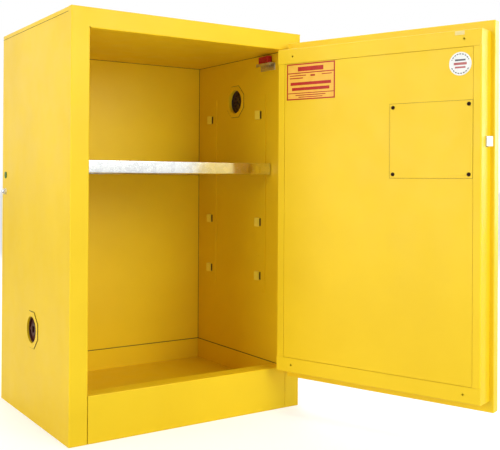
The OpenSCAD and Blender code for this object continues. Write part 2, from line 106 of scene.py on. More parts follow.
class Chart:
    """A material's node tree with short calls to add and join nodes."""

    def __init__(self, name: str) -> None:
        """Start an empty material with one Principled shader.

        Args:
            name: The material's name.
        """
        self.material = bpy.data.materials.new(name)
        self.material.use_nodes = True
        self.tree = self.material.node_tree
        self.tree.nodes.clear()
        self.shader = self.tree.nodes.new("ShaderNodeBsdfPrincipled")
        out = self.tree.nodes.new("ShaderNodeOutputMaterial")
        self.tree.links.new(self.shader.outputs[0], out.inputs[0])
        self.place = self.tree.nodes.new("ShaderNodeTexCoord").outputs["Object"]

    def add(self, kind: str, **sockets: object) -> bpy.types.Node:
        """Add a node and fill or join its sockets.

        Args:
            kind: The node's type without the ShaderNode prefix.
            **sockets: Socket or property names with a value or an output socket.

        Returns:
            The new node.
        """
        node = self.tree.nodes.new("ShaderNode" + kind)
        for key, value in sockets.items():
            if hasattr(node, key) and key not in node.inputs:
                setattr(node, key, value)
                continue
            socket = node.inputs[key.replace("_", " ")]
            if isinstance(value, bpy.types.NodeSocket):
                self.tree.links.new(value, socket)
            else:
                socket.default_value = value
        return node

    def noise(self, scale: float, detail: float = 3.0, stretch: Point = (1, 1, 1)) -> bpy.types.NodeSocket:
        """Return the value of a noise texture on the piece's own place.

        Args:
            scale: Cells per metre.
            detail: Octaves of finer noise.
            stretch: Extra scale along each axis.

        Returns:
            The noise's value socket.
        """
        mapped = self.add("Mapping", Vector=self.place, Scale=stretch)
        return self.add("TexNoise", Vector=mapped.outputs[0], Scale=scale, Detail=detail).outputs[0]

    def spread(self, value: bpy.types.NodeSocket, low: float, high: float) -> bpy.types.NodeSocket:
        """Map a noise value from its usual range onto low to high."""
        node = self.add("MapRange", Value=value, From_Min=0.3, From_Max=0.7, To_Min=low, To_Max=high)
        return node.outputs[0]

    def blend(self, value: bpy.types.NodeSocket, low: Colour, high: Colour) -> bpy.types.NodeSocket:
        """Return a colour that runs from low to high with a noise value.

        Args:
            value: The noise.
            low: Colour where it is low.
            high: Colour where it is high.

        Returns:
            The colour socket.
        """
        ramp = self.add("ValToRGB", Fac=value)
        ramp.color_ramp.elements[0].position = 0.32
        ramp.color_ramp.elements[1].position = 0.68
        ramp.color_ramp.elements[0].color = (*low, 1.0)
        ramp.color_ramp.elements[1].color = (*high, 1.0)
        return ramp.outputs[0]

    def relief(self, height: bpy.types.NodeSocket, distance: float, strength: float = 1.0,
               under: bpy.types.NodeSocket | None = None) -> bpy.types.NodeSocket:
        """Return a bumped normal.

        Args:
            height: The height pattern.
            distance: Its depth in metres.
            strength: How much of it shows.
            under: A normal that this one adds to.

        Returns:
            The normal socket.
        """
        node = self.add("Bump", Height=height, Distance=distance, Strength=strength)
        if under is not None:
            self.tree.links.new(under, node.inputs["Normal"])
        return node.outputs[0]

    def finish(self, colour: bpy.types.NodeSocket | Colour, rough: bpy.types.NodeSocket | float,
               normal: bpy.types.NodeSocket | None = None, **fixed: float) -> bpy.types.Material:
        """Join the pattern to the shader.

        Args:
            colour: Base colour.
            rough: Roughness.
            normal: Bumped normal.
            **fixed: Other shader sockets that hold one value.

        Returns:
            The finished material.
        """
        for key, value in (("Base Color", colour), ("Roughness", rough), ("Normal", normal)):
            if isinstance(value, bpy.types.NodeSocket):
                self.tree.links.new(value, self.shader.inputs[key])
            elif value is not None:
                self.shader.inputs[key].default_value = (*value, 1.0) if key == "Base Color" else value
        for key, value in fixed.items():
            self.shader.inputs[key.replace("_", " ")].default_value = value
        return self.material


@dataclass(frozen=True)
class PowderCoat:
    """Powder coat on sheet steel: soft gloss, orange peel and a slightly uneven tint."""

    name: str = "powder_coat_yellow"
    low: Colour = (0.86, 0.565, 0.009)
    high: Colour = (0.915, 0.615, 0.012)
    rough: tuple[float, float] = (0.34, 0.44)

    def make(self) -> bpy.types.Material:
        """Build the node tree.

        Returns:
            The finished material.
        """
        c = Chart(self.name)
        tint = c.blend(c.noise(5.0, 4.0), self.low, self.high)
        rough = c.spread(c.noise(22.0, 3.0), *self.rough)
        waves = c.relief(c.noise(9.0, 2.0), 0.6 * MM, 0.35)
        peel = c.relief(c.noise(420.0, 2.0), 0.035 * MM, 0.6, waves)
        return c.finish(tint, rough, peel, Specular_IOR_Level=0.26)


@dataclass(frozen=True)
class ZincSheet:
    """Galvanised sheet with a faint spangle and fine rolling lines."""

    name: str = "galvanised_sheet"
    low: Colour = (0.73, 0.74, 0.73)
    high: Colour = (0.80, 0.81, 0.79)
    metal: float = 1.0

    def make(self) -> bpy.types.Material:
        """Build the node tree.

        Returns:
            The finished material.
        """
        c = Chart(self.name)
        flakes = c.add("TexVoronoi", Vector=c.place, Scale=110.0, Randomness=1.0)
        tint = c.blend(c.add("SeparateColor", Color=flakes.outputs["Color"]).outputs[0], self.low, self.high)
        rough = c.spread(c.noise(60.0, 4.0), 0.10, 0.17)
        lines = c.relief(c.noise(60.0, 3.0, (1, 30, 30)), 0.05 * MM, 0.4)
        return c.finish(tint, rough, lines, Metallic=self.metal)


@dataclass(frozen=True)
class Plated:
    """Plated hardware: metal with a cast of colour and fine wear."""

    name: str
    low: Colour
    high: Colour
    rough: tuple[float, float] = (0.2, 0.36)
    metal: float = 1.0

    def make(self) -> bpy.types.Material:
        """Build the node tree.

        Returns:
            The finished material.
        """
        c = Chart(self.name)
        tint = c.blend(c.noise(140.0, 4.0), self.low, self.high)
        rough = c.spread(c.noise(300.0, 3.0), *self.rough)
        return c.finish(tint, rough, c.relief(c.noise(900.0, 2.0), 0.02 * MM, 0.5), Metallic=self.metal)


@dataclass(frozen=True)
class Moulded:
    """Moulded plastic, rubber or satin paint with a fine even grain."""

    name: str
    low: Colour
    high: Colour
    rough: tuple[float, float] = (0.4, 0.55)
    grain: float = 0.05 * MM
    gloss: float = 0.35

    def make(self) -> bpy.types.Material:
        """Build the node tree.

        Returns:
            The finished material.
        """
        c = Chart(self.name)
        tint = c.blend(c.noise(90.0, 3.0), self.low, self.high)
        rough = c.spread(c.noise(200.0, 3.0), *self.rough)
        grain = c.relief(c.noise(1400.0, 2.0), self.grain, 0.5)
        return c.finish(tint, rough, grain, Specular_IOR_Level=self.gloss)


@dataclass(frozen=True)
class Film:
    """Printed self-adhesive film: satin, with small ripples where it is stuck down."""

    name: str
    low: Colour
    high: Colour

    def make(self) -> bpy.types.Material:
        """Build the node tree.

        Returns:
            The finished material.
        """
        c = Chart(self.name)
        tint = c.blend(c.noise(60.0, 4.0), self.low, self.high)
        rough = c.spread(c.noise(120.0, 3.0), 0.3, 0.4)
        return c.finish(tint, rough, c.relief(c.noise(45.0, 2.0), 0.12 * MM, 0.4), Specular_IOR_Level=0.22)


@dataclass
class Finishes:
    """Every finish of the cabinet, made once and shared."""

    made: dict[str, bpy.types.Material] = field(default_factory=dict)

    def recipes(self) -> dict[str, object]:
        """List the finishes.

        Returns:
            Each finish under its short name.
        """
        return {
            "powder": PowderCoat(),
            "zinc_sheet": ZincSheet(),
            "zinc": Plated("zinc_plate", (0.58, 0.55, 0.47), (0.68, 0.65, 0.57), (0.24, 0.38), 0.9),
            # Lighter powder coat for the faces of the lugs: a painted highlight that makes them look lit.
            "lug_highlight": PowderCoat("powder_coat_lug_highlight", (0.93, 0.70, 0.05), (0.95, 0.74, 0.08)),
            # Dark brown that stands for the shade in seams, gaps, flange edges and lanced windows: painted
            # shadow.
            "shadow": Moulded("seam_shade_bead", (0.10, 0.06, 0.004), (0.16, 0.10, 0.008), (0.5, 0.7)),
            "lock": Plated("lock_plate", (0.62, 0.62, 0.62), (0.76, 0.76, 0.76), (0.12, 0.24)),
            "bung": Moulded("bung_moulding", (0.040, 0.008, 0.004), (0.080, 0.016, 0.008), (0.28, 0.42),
                            gloss=0.2),
            "plug": Moulded("plug_moulding", (0.016, 0.005, 0.003), (0.026, 0.009, 0.006), (0.6, 0.8),
                            gloss=0.1),
            "green": Moulded("marker_moulding", (0.030, 0.12, 0.004), (0.045, 0.16, 0.007), (0.35, 0.5),
                             gloss=0.25),
            # Brown bead round the cover plate: painted shadow of the gap.
            "shade_bead": Moulded("cover_shade_bead", (0.36, 0.225, 0.008), (0.42, 0.27, 0.012), (0.5, 0.7)),
            "rubber": Moulded("seal_rubber", (0.012, 0.012, 0.012), (0.03, 0.03, 0.03), (0.6, 0.75)),
            "black": Moulded("black_moulding", (0.006, 0.006, 0.006), (0.012, 0.012, 0.012), (0.45, 0.6)),
            "black_paint": Moulded("black_paint", (0.015, 0.015, 0.016), (0.03, 0.03, 0.03), (0.3, 0.45)),
            "red": Moulded("red_moulding", (0.36, 0.006, 0.012), (0.5, 0.012, 0.02), (0.25, 0.4)),
            "label": Film("label_film", (0.86, 0.46, 0.045), (0.90, 0.52, 0.065)),
            "label_print": Film("label_print", (0.42, 0.010, 0.003), (0.50, 0.018, 0.005)),
            "sticker": Film("sticker_film", (0.80, 0.80, 0.78), (0.86, 0.86, 0.84)),
            "sticker_print": Film("sticker_print", (0.09, 0.09, 0.11), (0.13, 0.13, 0.15)),
            "emblem_print": Film("emblem_print", (0.42, 0.10, 0.10), (0.50, 0.14, 0.13)),
            # Dark mesh colour of the flame arresters, also laid on the vent ducts as painted shade.
            "mesh_and_duct_shade": Plated("arrester_mesh_and_duct_shade", (0.05, 0.03, 0.03), (0.10, 0.06, 0.055), (0.4, 0.6), 0.6),
            "tag": Film("tag_film", (0.76, 0.60, 0.22), (0.82, 0.67, 0.28)),
        }

    def __getitem__(self, key: str) -> bpy.types.Material:
        """Make a material on first use and hand it out.

        Args:
            key: The finish's short name.

        Returns:
            Its material.
        """
        if key not in self.made:
            self.made[key] = self.recipes()[key].make()
        return self.made[key]


# ---------------------------------------------------------------- bench tools


@dataclass(frozen=True)
class Drawing:
    """The drawing's corner: millimetres from the carcass's left front bottom corner."""

    half_width: float = 287.5
    half_depth: float = 225.0

    def at(self, point: Point) -> Vector:
        """Turn a point on the drawing into metres in the row frame."""
        return Vector(((point[0] - self.half_width) * MM, (point[1] - self.half_depth) * MM, point[2] * MM))


DRAWING = Drawing()


def clear_selection() -> None:
    """Leave edit mode and deselect every object."""
    if bpy.context.object is not None and bpy.context.object.mode != "OBJECT":
        bpy.ops.object.mode_set(mode="OBJECT")
    bpy.ops.object.select_all(action="DESELECT")


def activate(obj: bpy.types.Object) -> None:
    """Make obj the only selected and the active object.

    Args:
        obj: The object.
    """
    clear_selection()
    obj.select_set(True)
    bpy.context.view_layer.objects.active = obj


@contextmanager
def editing(obj: bpy.types.Object) -> Iterator[bpy.types.Object]:
    """Work on obj in edit mode, starting with nothing selected.

    Args:
        obj: The mesh object.

    Yields:
        The same object.
    """
    activate(obj)
    bpy.ops.object.mode_set(mode="EDIT")
    bpy.ops.mesh.select_mode(type="FACE")
    bpy.ops.mesh.select_all(action="DESELECT")
    yield obj
    bpy.ops.object.mode_set(mode="OBJECT")


def pick_faces(obj: bpy.types.Object, test: Test) -> int:
    """Select the faces whose centre and normal pass the test.

    Args:
        obj: The mesh in edit mode.
        test: Called with each face's centre and normal.

    Returns:
        How many faces were selected.
    """
    bpy.ops.mesh.select_mode(type="FACE")
    mesh = bmesh.from_edit_mesh(obj.data)
    for face in mesh.faces:
        face.select_set(False)
    chosen = [face for face in mesh.faces if test(face.calc_center_median(), face.normal)]
    for face in chosen:
        face.select_set(True)
    bmesh.update_edit_mesh(obj.data)
    return len(chosen)


def pick_edges(obj: bpy.types.Object, test: Test) -> int:
    """Select the edges whose middle and direction pass the test.

    Args:
        obj: The mesh in edit mode.
        test: Called with each edge's middle and unit direction.

    Returns:
        How many edges were selected.
    """
    bpy.ops.mesh.select_mode(type="EDGE")
    mesh = bmesh.from_edit_mesh(obj.data)
    for edge in mesh.edges:
        edge.select_set(False)
    chosen = []
    for edge in mesh.edges:
        a, b = (v.co for v in edge.verts)
        if test((a + b) / 2, (b - a).normalized()):
            chosen.append(edge)
    for edge in chosen:
        edge.select_set(True)
    bmesh.update_edit_mesh(obj.data)
    return len(chosen)


def settle(obj: bpy.types.Object) -> bpy.types.Object:
    """Move the object's place, turn and scale into its mesh.

    Args:
        obj: The mesh object.

    Returns:
        The same object.
    """
    activate(obj)
    bpy.ops.object.transform_apply(location=True, rotation=True, scale=True)
    return obj


def modify(obj: bpy.types.Object, kind: str, **settings: object) -> bpy.types.Object:
    """Add a modifier to obj and apply it.

    Args:
        obj: The mesh object.
        kind: The modifier's type.
        **settings: The modifier's properties.

    Returns:
        The same object.
    """
    activate(obj)
    modifier = obj.modifiers.new(kind.lower(), kind)
    for key, value in settings.items():
        setattr(modifier, key, value)
    bpy.ops.object.modifier_apply(modifier=modifier.name)
    return obj


def smooth(obj: bpy.types.Object) -> bpy.types.Object:
    """Shade rounded faces smoothly and keep the sharp edges.

    Args:
        obj: The mesh object.

    Returns:
        The same object.
    """
    activate(obj)
    bpy.ops.object.shade_smooth_by_angle(angle=math.radians(35))
    return obj


def soften(obj: bpy.types.Object, width: float, segments: int = 2, angle: float = 30.0) -> bpy.types.Object:
    """Round every edge sharper than the angle and shade the piece smoothly.

    Args:
        obj: The mesh object.
        width: Width of the rounding in millimetres.
        segments: Facets across it.
        angle: Edges flatter than this stay as they are, in degrees.

    Returns:
        The same object.
    """
    modify(obj, "BEVEL", width=width * MM, segments=segments, limit_method="ANGLE",
           angle_limit=math.radians(angle), use_clamp_overlap=True)
    return smooth(obj)


def ease(obj: bpy.types.Object) -> bpy.types.Object:
    """Take the sharpness off the cut edges of a folded sheet."""
    return soften(obj, 0.25, 1, 50)


def plain_sheet(name: str, place: Matrix) -> bpy.types.Object:
    """Add a plane primitive, one metre square before it is placed.

    Args:
        name: The piece's name.
        place: Its place, turn and size as one matrix.

    Returns:
        The flat sheet.
    """
    clear_selection()
    bpy.ops.mesh.primitive_plane_add(size=1.0)
    obj = bpy.context.object
    obj.name = obj.data.name = name
    obj.matrix_world = place
    return settle(obj)


def block(name: str, low: Point, high: Point) -> bpy.types.Object:
    """Add a cube primitive that fills the box between two corners of the drawing.

    Args:
        name: The piece's name.
        low: The box's lowest corner.
        high: Its highest corner.

    Returns:
        The block.
    """
    clear_selection()
    a, b = DRAWING.at(low), DRAWING.at(high)
    bpy.ops.mesh.primitive_cube_add(size=1.0, location=(a + b) / 2)
    obj = bpy.context.object
    obj.name = obj.data.name = name
    obj.scale = b - a
    return settle(obj)


def rod(name: str, start: Point, end: Point, radius: float, sides: int = 48,
        turn: float = 0.0) -> bpy.types.Object:
    """Add a cylinder primitive between two points of the drawing.

    Args:
        name: The piece's name.
        start: Middle of its first end.
        end: Middle of its last end.
        radius: Radius to its corners, in millimetres.
        sides: Number of sides.
        turn: Turn about its own axis, in degrees.

    Returns:
        The cylinder.
    """
    clear_selection()
    a, b = DRAWING.at(start), DRAWING.at(end)
    bpy.ops.mesh.primitive_cylinder_add(vertices=sides, radius=radius * MM, depth=(b - a).length)
    obj = bpy.context.object
    obj.name = obj.data.name = name
    spin = (b - a).to_track_quat("Z", "Y").to_matrix().to_4x4() @ Matrix.Rotation(math.radians(turn), 4, "Z")
    obj.matrix_world = Matrix.Translation((a + b) / 2) @ spin
    return settle(obj)


def folded(name: str, first: tuple[Point, Point], steps: list[Point], run: Point, inside: Point,
           thickness: float = SHEET, radius: float = 2.0) -> bpy.types.Object:
    """Fold a sheet: a strip is extruded from edge to edge, its folds rounded and its wall added.

    Args:
        name: The piece's name.
        first: The profile's first leg, as its two ends on the drawing.
        steps: Moves of the free edge, one for each further leg.
        run: The vector along the folds from the sheet's start to its end.
        inside: The direction from the first leg's outer face into the sheet.
        thickness: Sheet thickness in millimetres.
        radius: Outer fold radius in millimetres.

    Returns:
        The folded sheet.
    """
    a, b, along = DRAWING.at(first[0]), DRAWING.at(first[1]), Vector(run) * MM
    side = b - a
    normal = side.cross(along).normalized()
    turn = Matrix((side.normalized(), along.normalized(), normal)).transposed().to_4x4()
    size = Matrix.Diagonal((side.length, along.length, 1.0, 1.0))
    obj = plain_sheet(name, Matrix.Translation((a + b + along) / 2) @ turn @ size)
    centre, folds = b + along / 2, []
    with editing(obj):
        if normal.dot(Vector(inside)) > 0:
            bpy.ops.mesh.select_all(action="SELECT")
            bpy.ops.mesh.flip_normals()
        for step in steps:
            folds.append(centre.copy())
            pick_edges(obj, lambda m, d, c=centre: (m - c).length < 0.02 * MM)
            bpy.ops.mesh.extrude_edges_move(TRANSFORM_OT_translate={"value": Vector(step) * MM})
            centre = centre + Vector(step) * MM
        if radius > 0 and folds:
            pick_edges(obj, lambda m, d: any((m - c).length < 0.02 * MM for c in folds))
            bpy.ops.mesh.bevel(offset=radius * MM, segments=4, affect="EDGES")
    modify(obj, "SOLIDIFY", thickness=thickness * MM, offset=-1.0, use_even_offset=True)
    return smooth(obj)


def combine(obj: bpy.types.Object, operation: str, *tools: bpy.types.Object) -> bpy.types.Object:
    """Cut or add the tools' shapes and remove the tools.

    Args:
        obj: The piece that is worked on.
        operation: DIFFERENCE or UNION.
        *tools: The shapes to cut out or to add.

    Returns:
        The same piece.
    """
    for tool in tools:
        modify(obj, "BOOLEAN", operation=operation, solver="EXACT", object=tool)
        bpy.data.objects.remove(tool, do_unlink=True)
    return obj


def pierce(obj: bpy.types.Object, *cutters: bpy.types.Object) -> bpy.types.Object:
    """Cut the cutters' shapes out of obj and remove the cutters."""
    return combine(obj, "DIFFERENCE", *cutters)


def welded(obj: bpy.types.Object, *added: bpy.types.Object) -> bpy.types.Object:
    """Unite obj with the added shapes, which become part of it."""
    return combine(obj, "UNION", *added)


def joined(name: str, pieces: list[bpy.types.Object]) -> bpy.types.Object:
    """Join pieces into one object.

    Args:
        name: The whole's name.
        pieces: What it is made of.

    Returns:
        The joined object.
    """
    activate(pieces[0])
    for piece in pieces[1:]:
        piece.select_set(True)
    bpy.ops.object.join()
    obj = bpy.context.object
    obj.name = obj.data.name = name
    return obj


def copied(source: bpy.types.Object, move: Point, name: str = "") -> bpy.types.Object:
    """Copy a piece with its own mesh.

    Args:
        source: The piece.
        move: How far the copy is shifted, in millimetres.
        name: The copy's name, or none to take the piece's.

    Returns:
        The copy.
    """
    twin = source.copy()
    twin.data = source.data.copy()
    bpy.context.scene.collection.objects.link(twin)
    twin.name = twin.data.name = name or source.name
    twin.location = Vector(move) * MM
    return settle(twin)


def flipped(obj: bpy.types.Object) -> bpy.types.Object:
    """Move a piece to the other side of the cabinet and turn its faces outwards again.

    Args:
        obj: The mesh object.

    Returns:
        The same object.
    """
    obj.scale = (-1, 1, 1)
    settle(obj)
    with editing(obj):
        bpy.ops.mesh.select_all(action="SELECT")
        bpy.ops.mesh.normals_make_consistent(inside=False)
    return smooth(obj)


def mirrored(source: bpy.types.Object, name: str, rise: float = 0.0) -> bpy.types.Object:
    """Copy a piece to the other side of the cabinet and turn its faces outwards again.

    Args:
        source: The left-hand piece.
        name: Name of the right-hand one.
        rise: How much higher it sits, in millimetres.

    Returns:
        The right-hand piece.
    """
    return flipped(copied(source, (0, 0, rise), name))


def paint(obj: bpy.types.Object, *materials: bpy.types.Material) -> bpy.types.Object:
    """Give the piece its materials, the first one all over unless faces are marked.

    Args:
        obj: The mesh object.
        *materials: The materials in the order of the faces' marks.

    Returns:
        The same object.
    """
    obj.data.materials.clear()
    for material in materials:
        obj.data.materials.append(material)
    return obj


def fit(obj: bpy.types.Object, body: Body, slot: Slot, *nodes: str) -> bpy.types.Object:
    """Let the piece ride on its body in place of the CAD nodes it stands for.

    Args:
        obj: The finished piece.
        body: The body it moves with.
        slot: The material slot it takes its finish from; not used.
        *nodes: The CAD nodes it stands for.

    Returns:
        The same piece.
    """
    modify(obj, "WEIGHTED_NORMAL", keep_sharp=True)
    low = Vector([min(v.co[i] for v in obj.data.vertices) for i in range(3)])
    high = Vector([max(v.co[i] for v in obj.data.vertices) for i in range(3)])
    boxes, slack = [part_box(node) for node in nodes], 2.5 * MM
    if boxes:
        off = max(max(abs(low[i] - min(b[0][i] for b in boxes)), abs(high[i] - max(b[1][i] for b in boxes)))
                  for i in range(3))
        if off > slack:
            LOG.warning("%s is %.1f mm off its node's box", obj.name, off / MM)
    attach(obj, body.value)
    if nodes:
        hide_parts(*nodes)
        obj.name = obj.data.name = nodes[0] + "_made"
    LOG.info("%s rides on %s, %d faces", obj.name, body.value, len(obj.data.polygons))
    return obj


@dataclass
class Shop:
    """What every sub-assembly works with: the CAD nodes and the finishes."""

    nodes: dict[str, bpy.types.Object]
    finishes: Finishes

    def keep(self, names: list[str], finish: str, width: float = 0.3) -> None:
        """Finish CAD nodes whose shape is right: weld, round the edges and paint.

        Args:
            names: The nodes.
            finish: Short name of the finish.
            width: Edge rounding in millimetres.
        """
        for name in names:
            obj = self.nodes[name]
            obj.modifiers.new("weld", "WELD").merge_threshold = 0.005 * MM
            if width > 0:
                bevel = obj.modifiers.new("edges", "BEVEL")
                bevel.width, bevel.segments = width * MM, 2
                bevel.limit_method, bevel.angle_limit = "ANGLE", math.radians(35)
            paint(obj, self.finishes[finish])
            LOG.info("%s keeps its CAD shape, finished in %s", name, finish)


# ---------------------------------------------------------------- door space


@dataclass(frozen=True)
class Swing:
    """The door's hinge axis on the drawing and the angle at which it stands open."""

    axis: Point = (534.4, -12.2, 0.0)
    degrees: float = 109.0

    def open(self, obj: bpy.types.Object) -> bpy.types.Object:
        """Swing a piece shaped with the door closed to the rest angle.

        Args:
            obj: The piece.

        Returns:
            The same piece, open.
        """
        pin = Matrix.Translation(DRAWING.at(self.axis))
        obj.matrix_world = pin @ Matrix.Rotation(math.radians(self.degrees), 4, "Z") @ pin.inverted()
        return settle(obj)


# ---------------------------------------------------------------- carcass


@dataclass
class Carcass:
    """Outer shell: sides with their stiles, cap, back, rail, kick plate and base tray."""

    shop: Shop
    width: float = 575.0
    depth: float = 450.0
    height: float = 889.0
    wall: float = 40.0
    lip: float = 25.0
    cap_edge: float = 9.5
    cap_front: float = 17.3
    opening: tuple[float, float] = (98.0, 847.0)
    vent: Point = (0.0, 226.0, 202.0)
    vent_rise: float = 540.0
    strike: tuple[float, float] = (618.0, 12.0)
    relief: float = 2.4
    lap: float = 2.2
    vent_hole: float = 34.6
    earth_hole: float = 4.2
    earth_holes: tuple[tuple[float, float], ...] = ((424.0, 547.5), (425.0, 508.0))

    def build(self) -> None:
        """Make every sheet of the outer shell."""
        self.sides()
        self.cap()
        self.cap_seam()
        self.rail_and_kick()
        self.shop.keep(["back_panel", "base_panel"], "powder", 0.4)

    def sides(self) -> None:
        """Fold the two sides from one pattern and pierce each for its fittings."""
        top = self.height - SHEET
        blank = folded("side_left", ((0, self.depth, 0), (0, 0, 0)), [(self.wall, 0, 0), (0, self.lip, 0)],
                       (0, 0, top), (1, 0, 0), radius=FOLD)
        low, high = self.opening
        notch, past = self.wall - self.relief, self.wall + 1
        pierce(blank, block("seat", (-1, self.cap_front, self.height - self.cap_edge - 0.3),
                            (2.5, self.depth + 1, self.height)),
               block("relief", (notch, -1, high), (past, self.relief, high + self.relief)),
               block("relief", (notch, -1, low - self.relief), (past, self.relief, low)))
        right = mirrored(blank, "side_right")
        y, z = self.vent[1], self.vent[2]
        pierce(blank, rod("hole", (-1, y, z), (3, y, z), self.vent_hole))
        for place in self.earth_holes:
            pierce(blank, rod("hole", (-1, *place), (3, *place), self.earth_hole))
        zc, half = self.strike
        pierce(blank, block("hole", (self.wall - 2, 7.5, zc - half), (self.wall + 2, 20.5, zc + half)))
        z += self.vent_rise
        pierce(right, rod("hole", (self.width - 3, y, z), (self.width + 1, y, z), self.vent_hole))
        for side, node in ((blank, "side_left"), (right, "side_right")):
            ease(side)
            fit(paint(side, self.shop.finishes["powder"]), Body.CABINET, Slot.POWDER, node)

    def cap(self) -> None:
        """Fold the cap's edges down at the sides and the back."""
        centre = DRAWING.at((self.width / 2, self.depth / 2, self.height))
        size = Matrix.Diagonal((self.width * MM, self.depth * MM, 1.0, 1.0))
        cap = plain_sheet("top_panel", Matrix.Translation(centre) @ size)
        front = DRAWING.at((0, self.cap_front, 0)).y
        edge = self.width / 2 * MM
        back = self.depth / 2 * MM
        with editing(cap):
            bpy.ops.mesh.select_all(action="SELECT")
            bpy.ops.mesh.bisect(plane_co=(0, front, 0), plane_no=(0, 1, 0))
            pick_edges(cap, lambda m, d: m.y > front + MM and (abs(abs(m.x) - edge) < MM or m.y > back - MM))
            bpy.ops.mesh.extrude_edges_move(TRANSFORM_OT_translate={"value": (0, 0, -self.cap_edge * MM)})
            pick_edges(cap, lambda m, d: m.z > (self.height - 0.1) * MM and m.y > front + MM
                       and (abs(abs(m.x) - edge) < MM or m.y > back - MM))
            bpy.ops.mesh.bevel(offset=1.6 * MM, segments=3, affect="EDGES")
        modify(cap, "SOLIDIFY", thickness=SHEET * MM, offset=-1.0, use_even_offset=True)
        ease(cap)
        fit(paint(cap, self.shop.finishes["powder"]), Body.CABINET, Slot.POWDER, "top_panel")

    def cap_seam(self) -> None:
        """Run a thin dark line of painted shadow under the cap's edges."""
        z, far, back = self.height - self.cap_edge - 0.5, self.width - 0.5, self.depth - 0.5
        # Dark rods under the cap's edges: painted shadow.
        lines = [rod("line", (0.5, self.cap_front, z), (0.5, back, z), 0.8, 8),
                 rod("line", (far, self.cap_front, z), (far, back, z), 0.8, 8),
                 rod("line", (0.5, back, z), (far, back, z), 0.8, 8)]
        seam = smooth(joined("cap_seam", lines))
        fit(paint(seam, self.shop.finishes["shadow"]), Body.CABINET, Slot.SEAL)

    def rail_and_kick(self) -> None:
        """Fold the rail over the opening and the kick plate with its sill."""
        low, high = self.opening
        left, right = self.wall, self.width - self.wall
        start = left - self.lap
        rail = folded("top_rail", ((start, 0, self.height - SHEET), (start, 0, high)), [(0, self.lip, 0)],
                      (right - left + 2 * self.lap, 0, 0), (0, 1, 0), radius=FOLD)
        for x in (left, right):
            notch = (x - self.relief, -1, high - 1), (x + self.relief, 5, high + self.relief)
            pierce(rail, block("relief", *notch))
        play = 0.6
        kick = folded("kick_plate", ((left + play, 0, 0), (left + play, 0, low)), [(0, self.wall - 2, 0)],
                      (right - left - 2 * play, 0, 0), (0, 1, 0), radius=FOLD)
        for piece, node in ((rail, "top_rail"), (kick, "kick_plate")):
            ease(piece)
            fit(paint(piece, self.shop.finishes["powder"]), Body.CABINET, Slot.POWDER, node)


# ---------------------------------------------------------------- interior


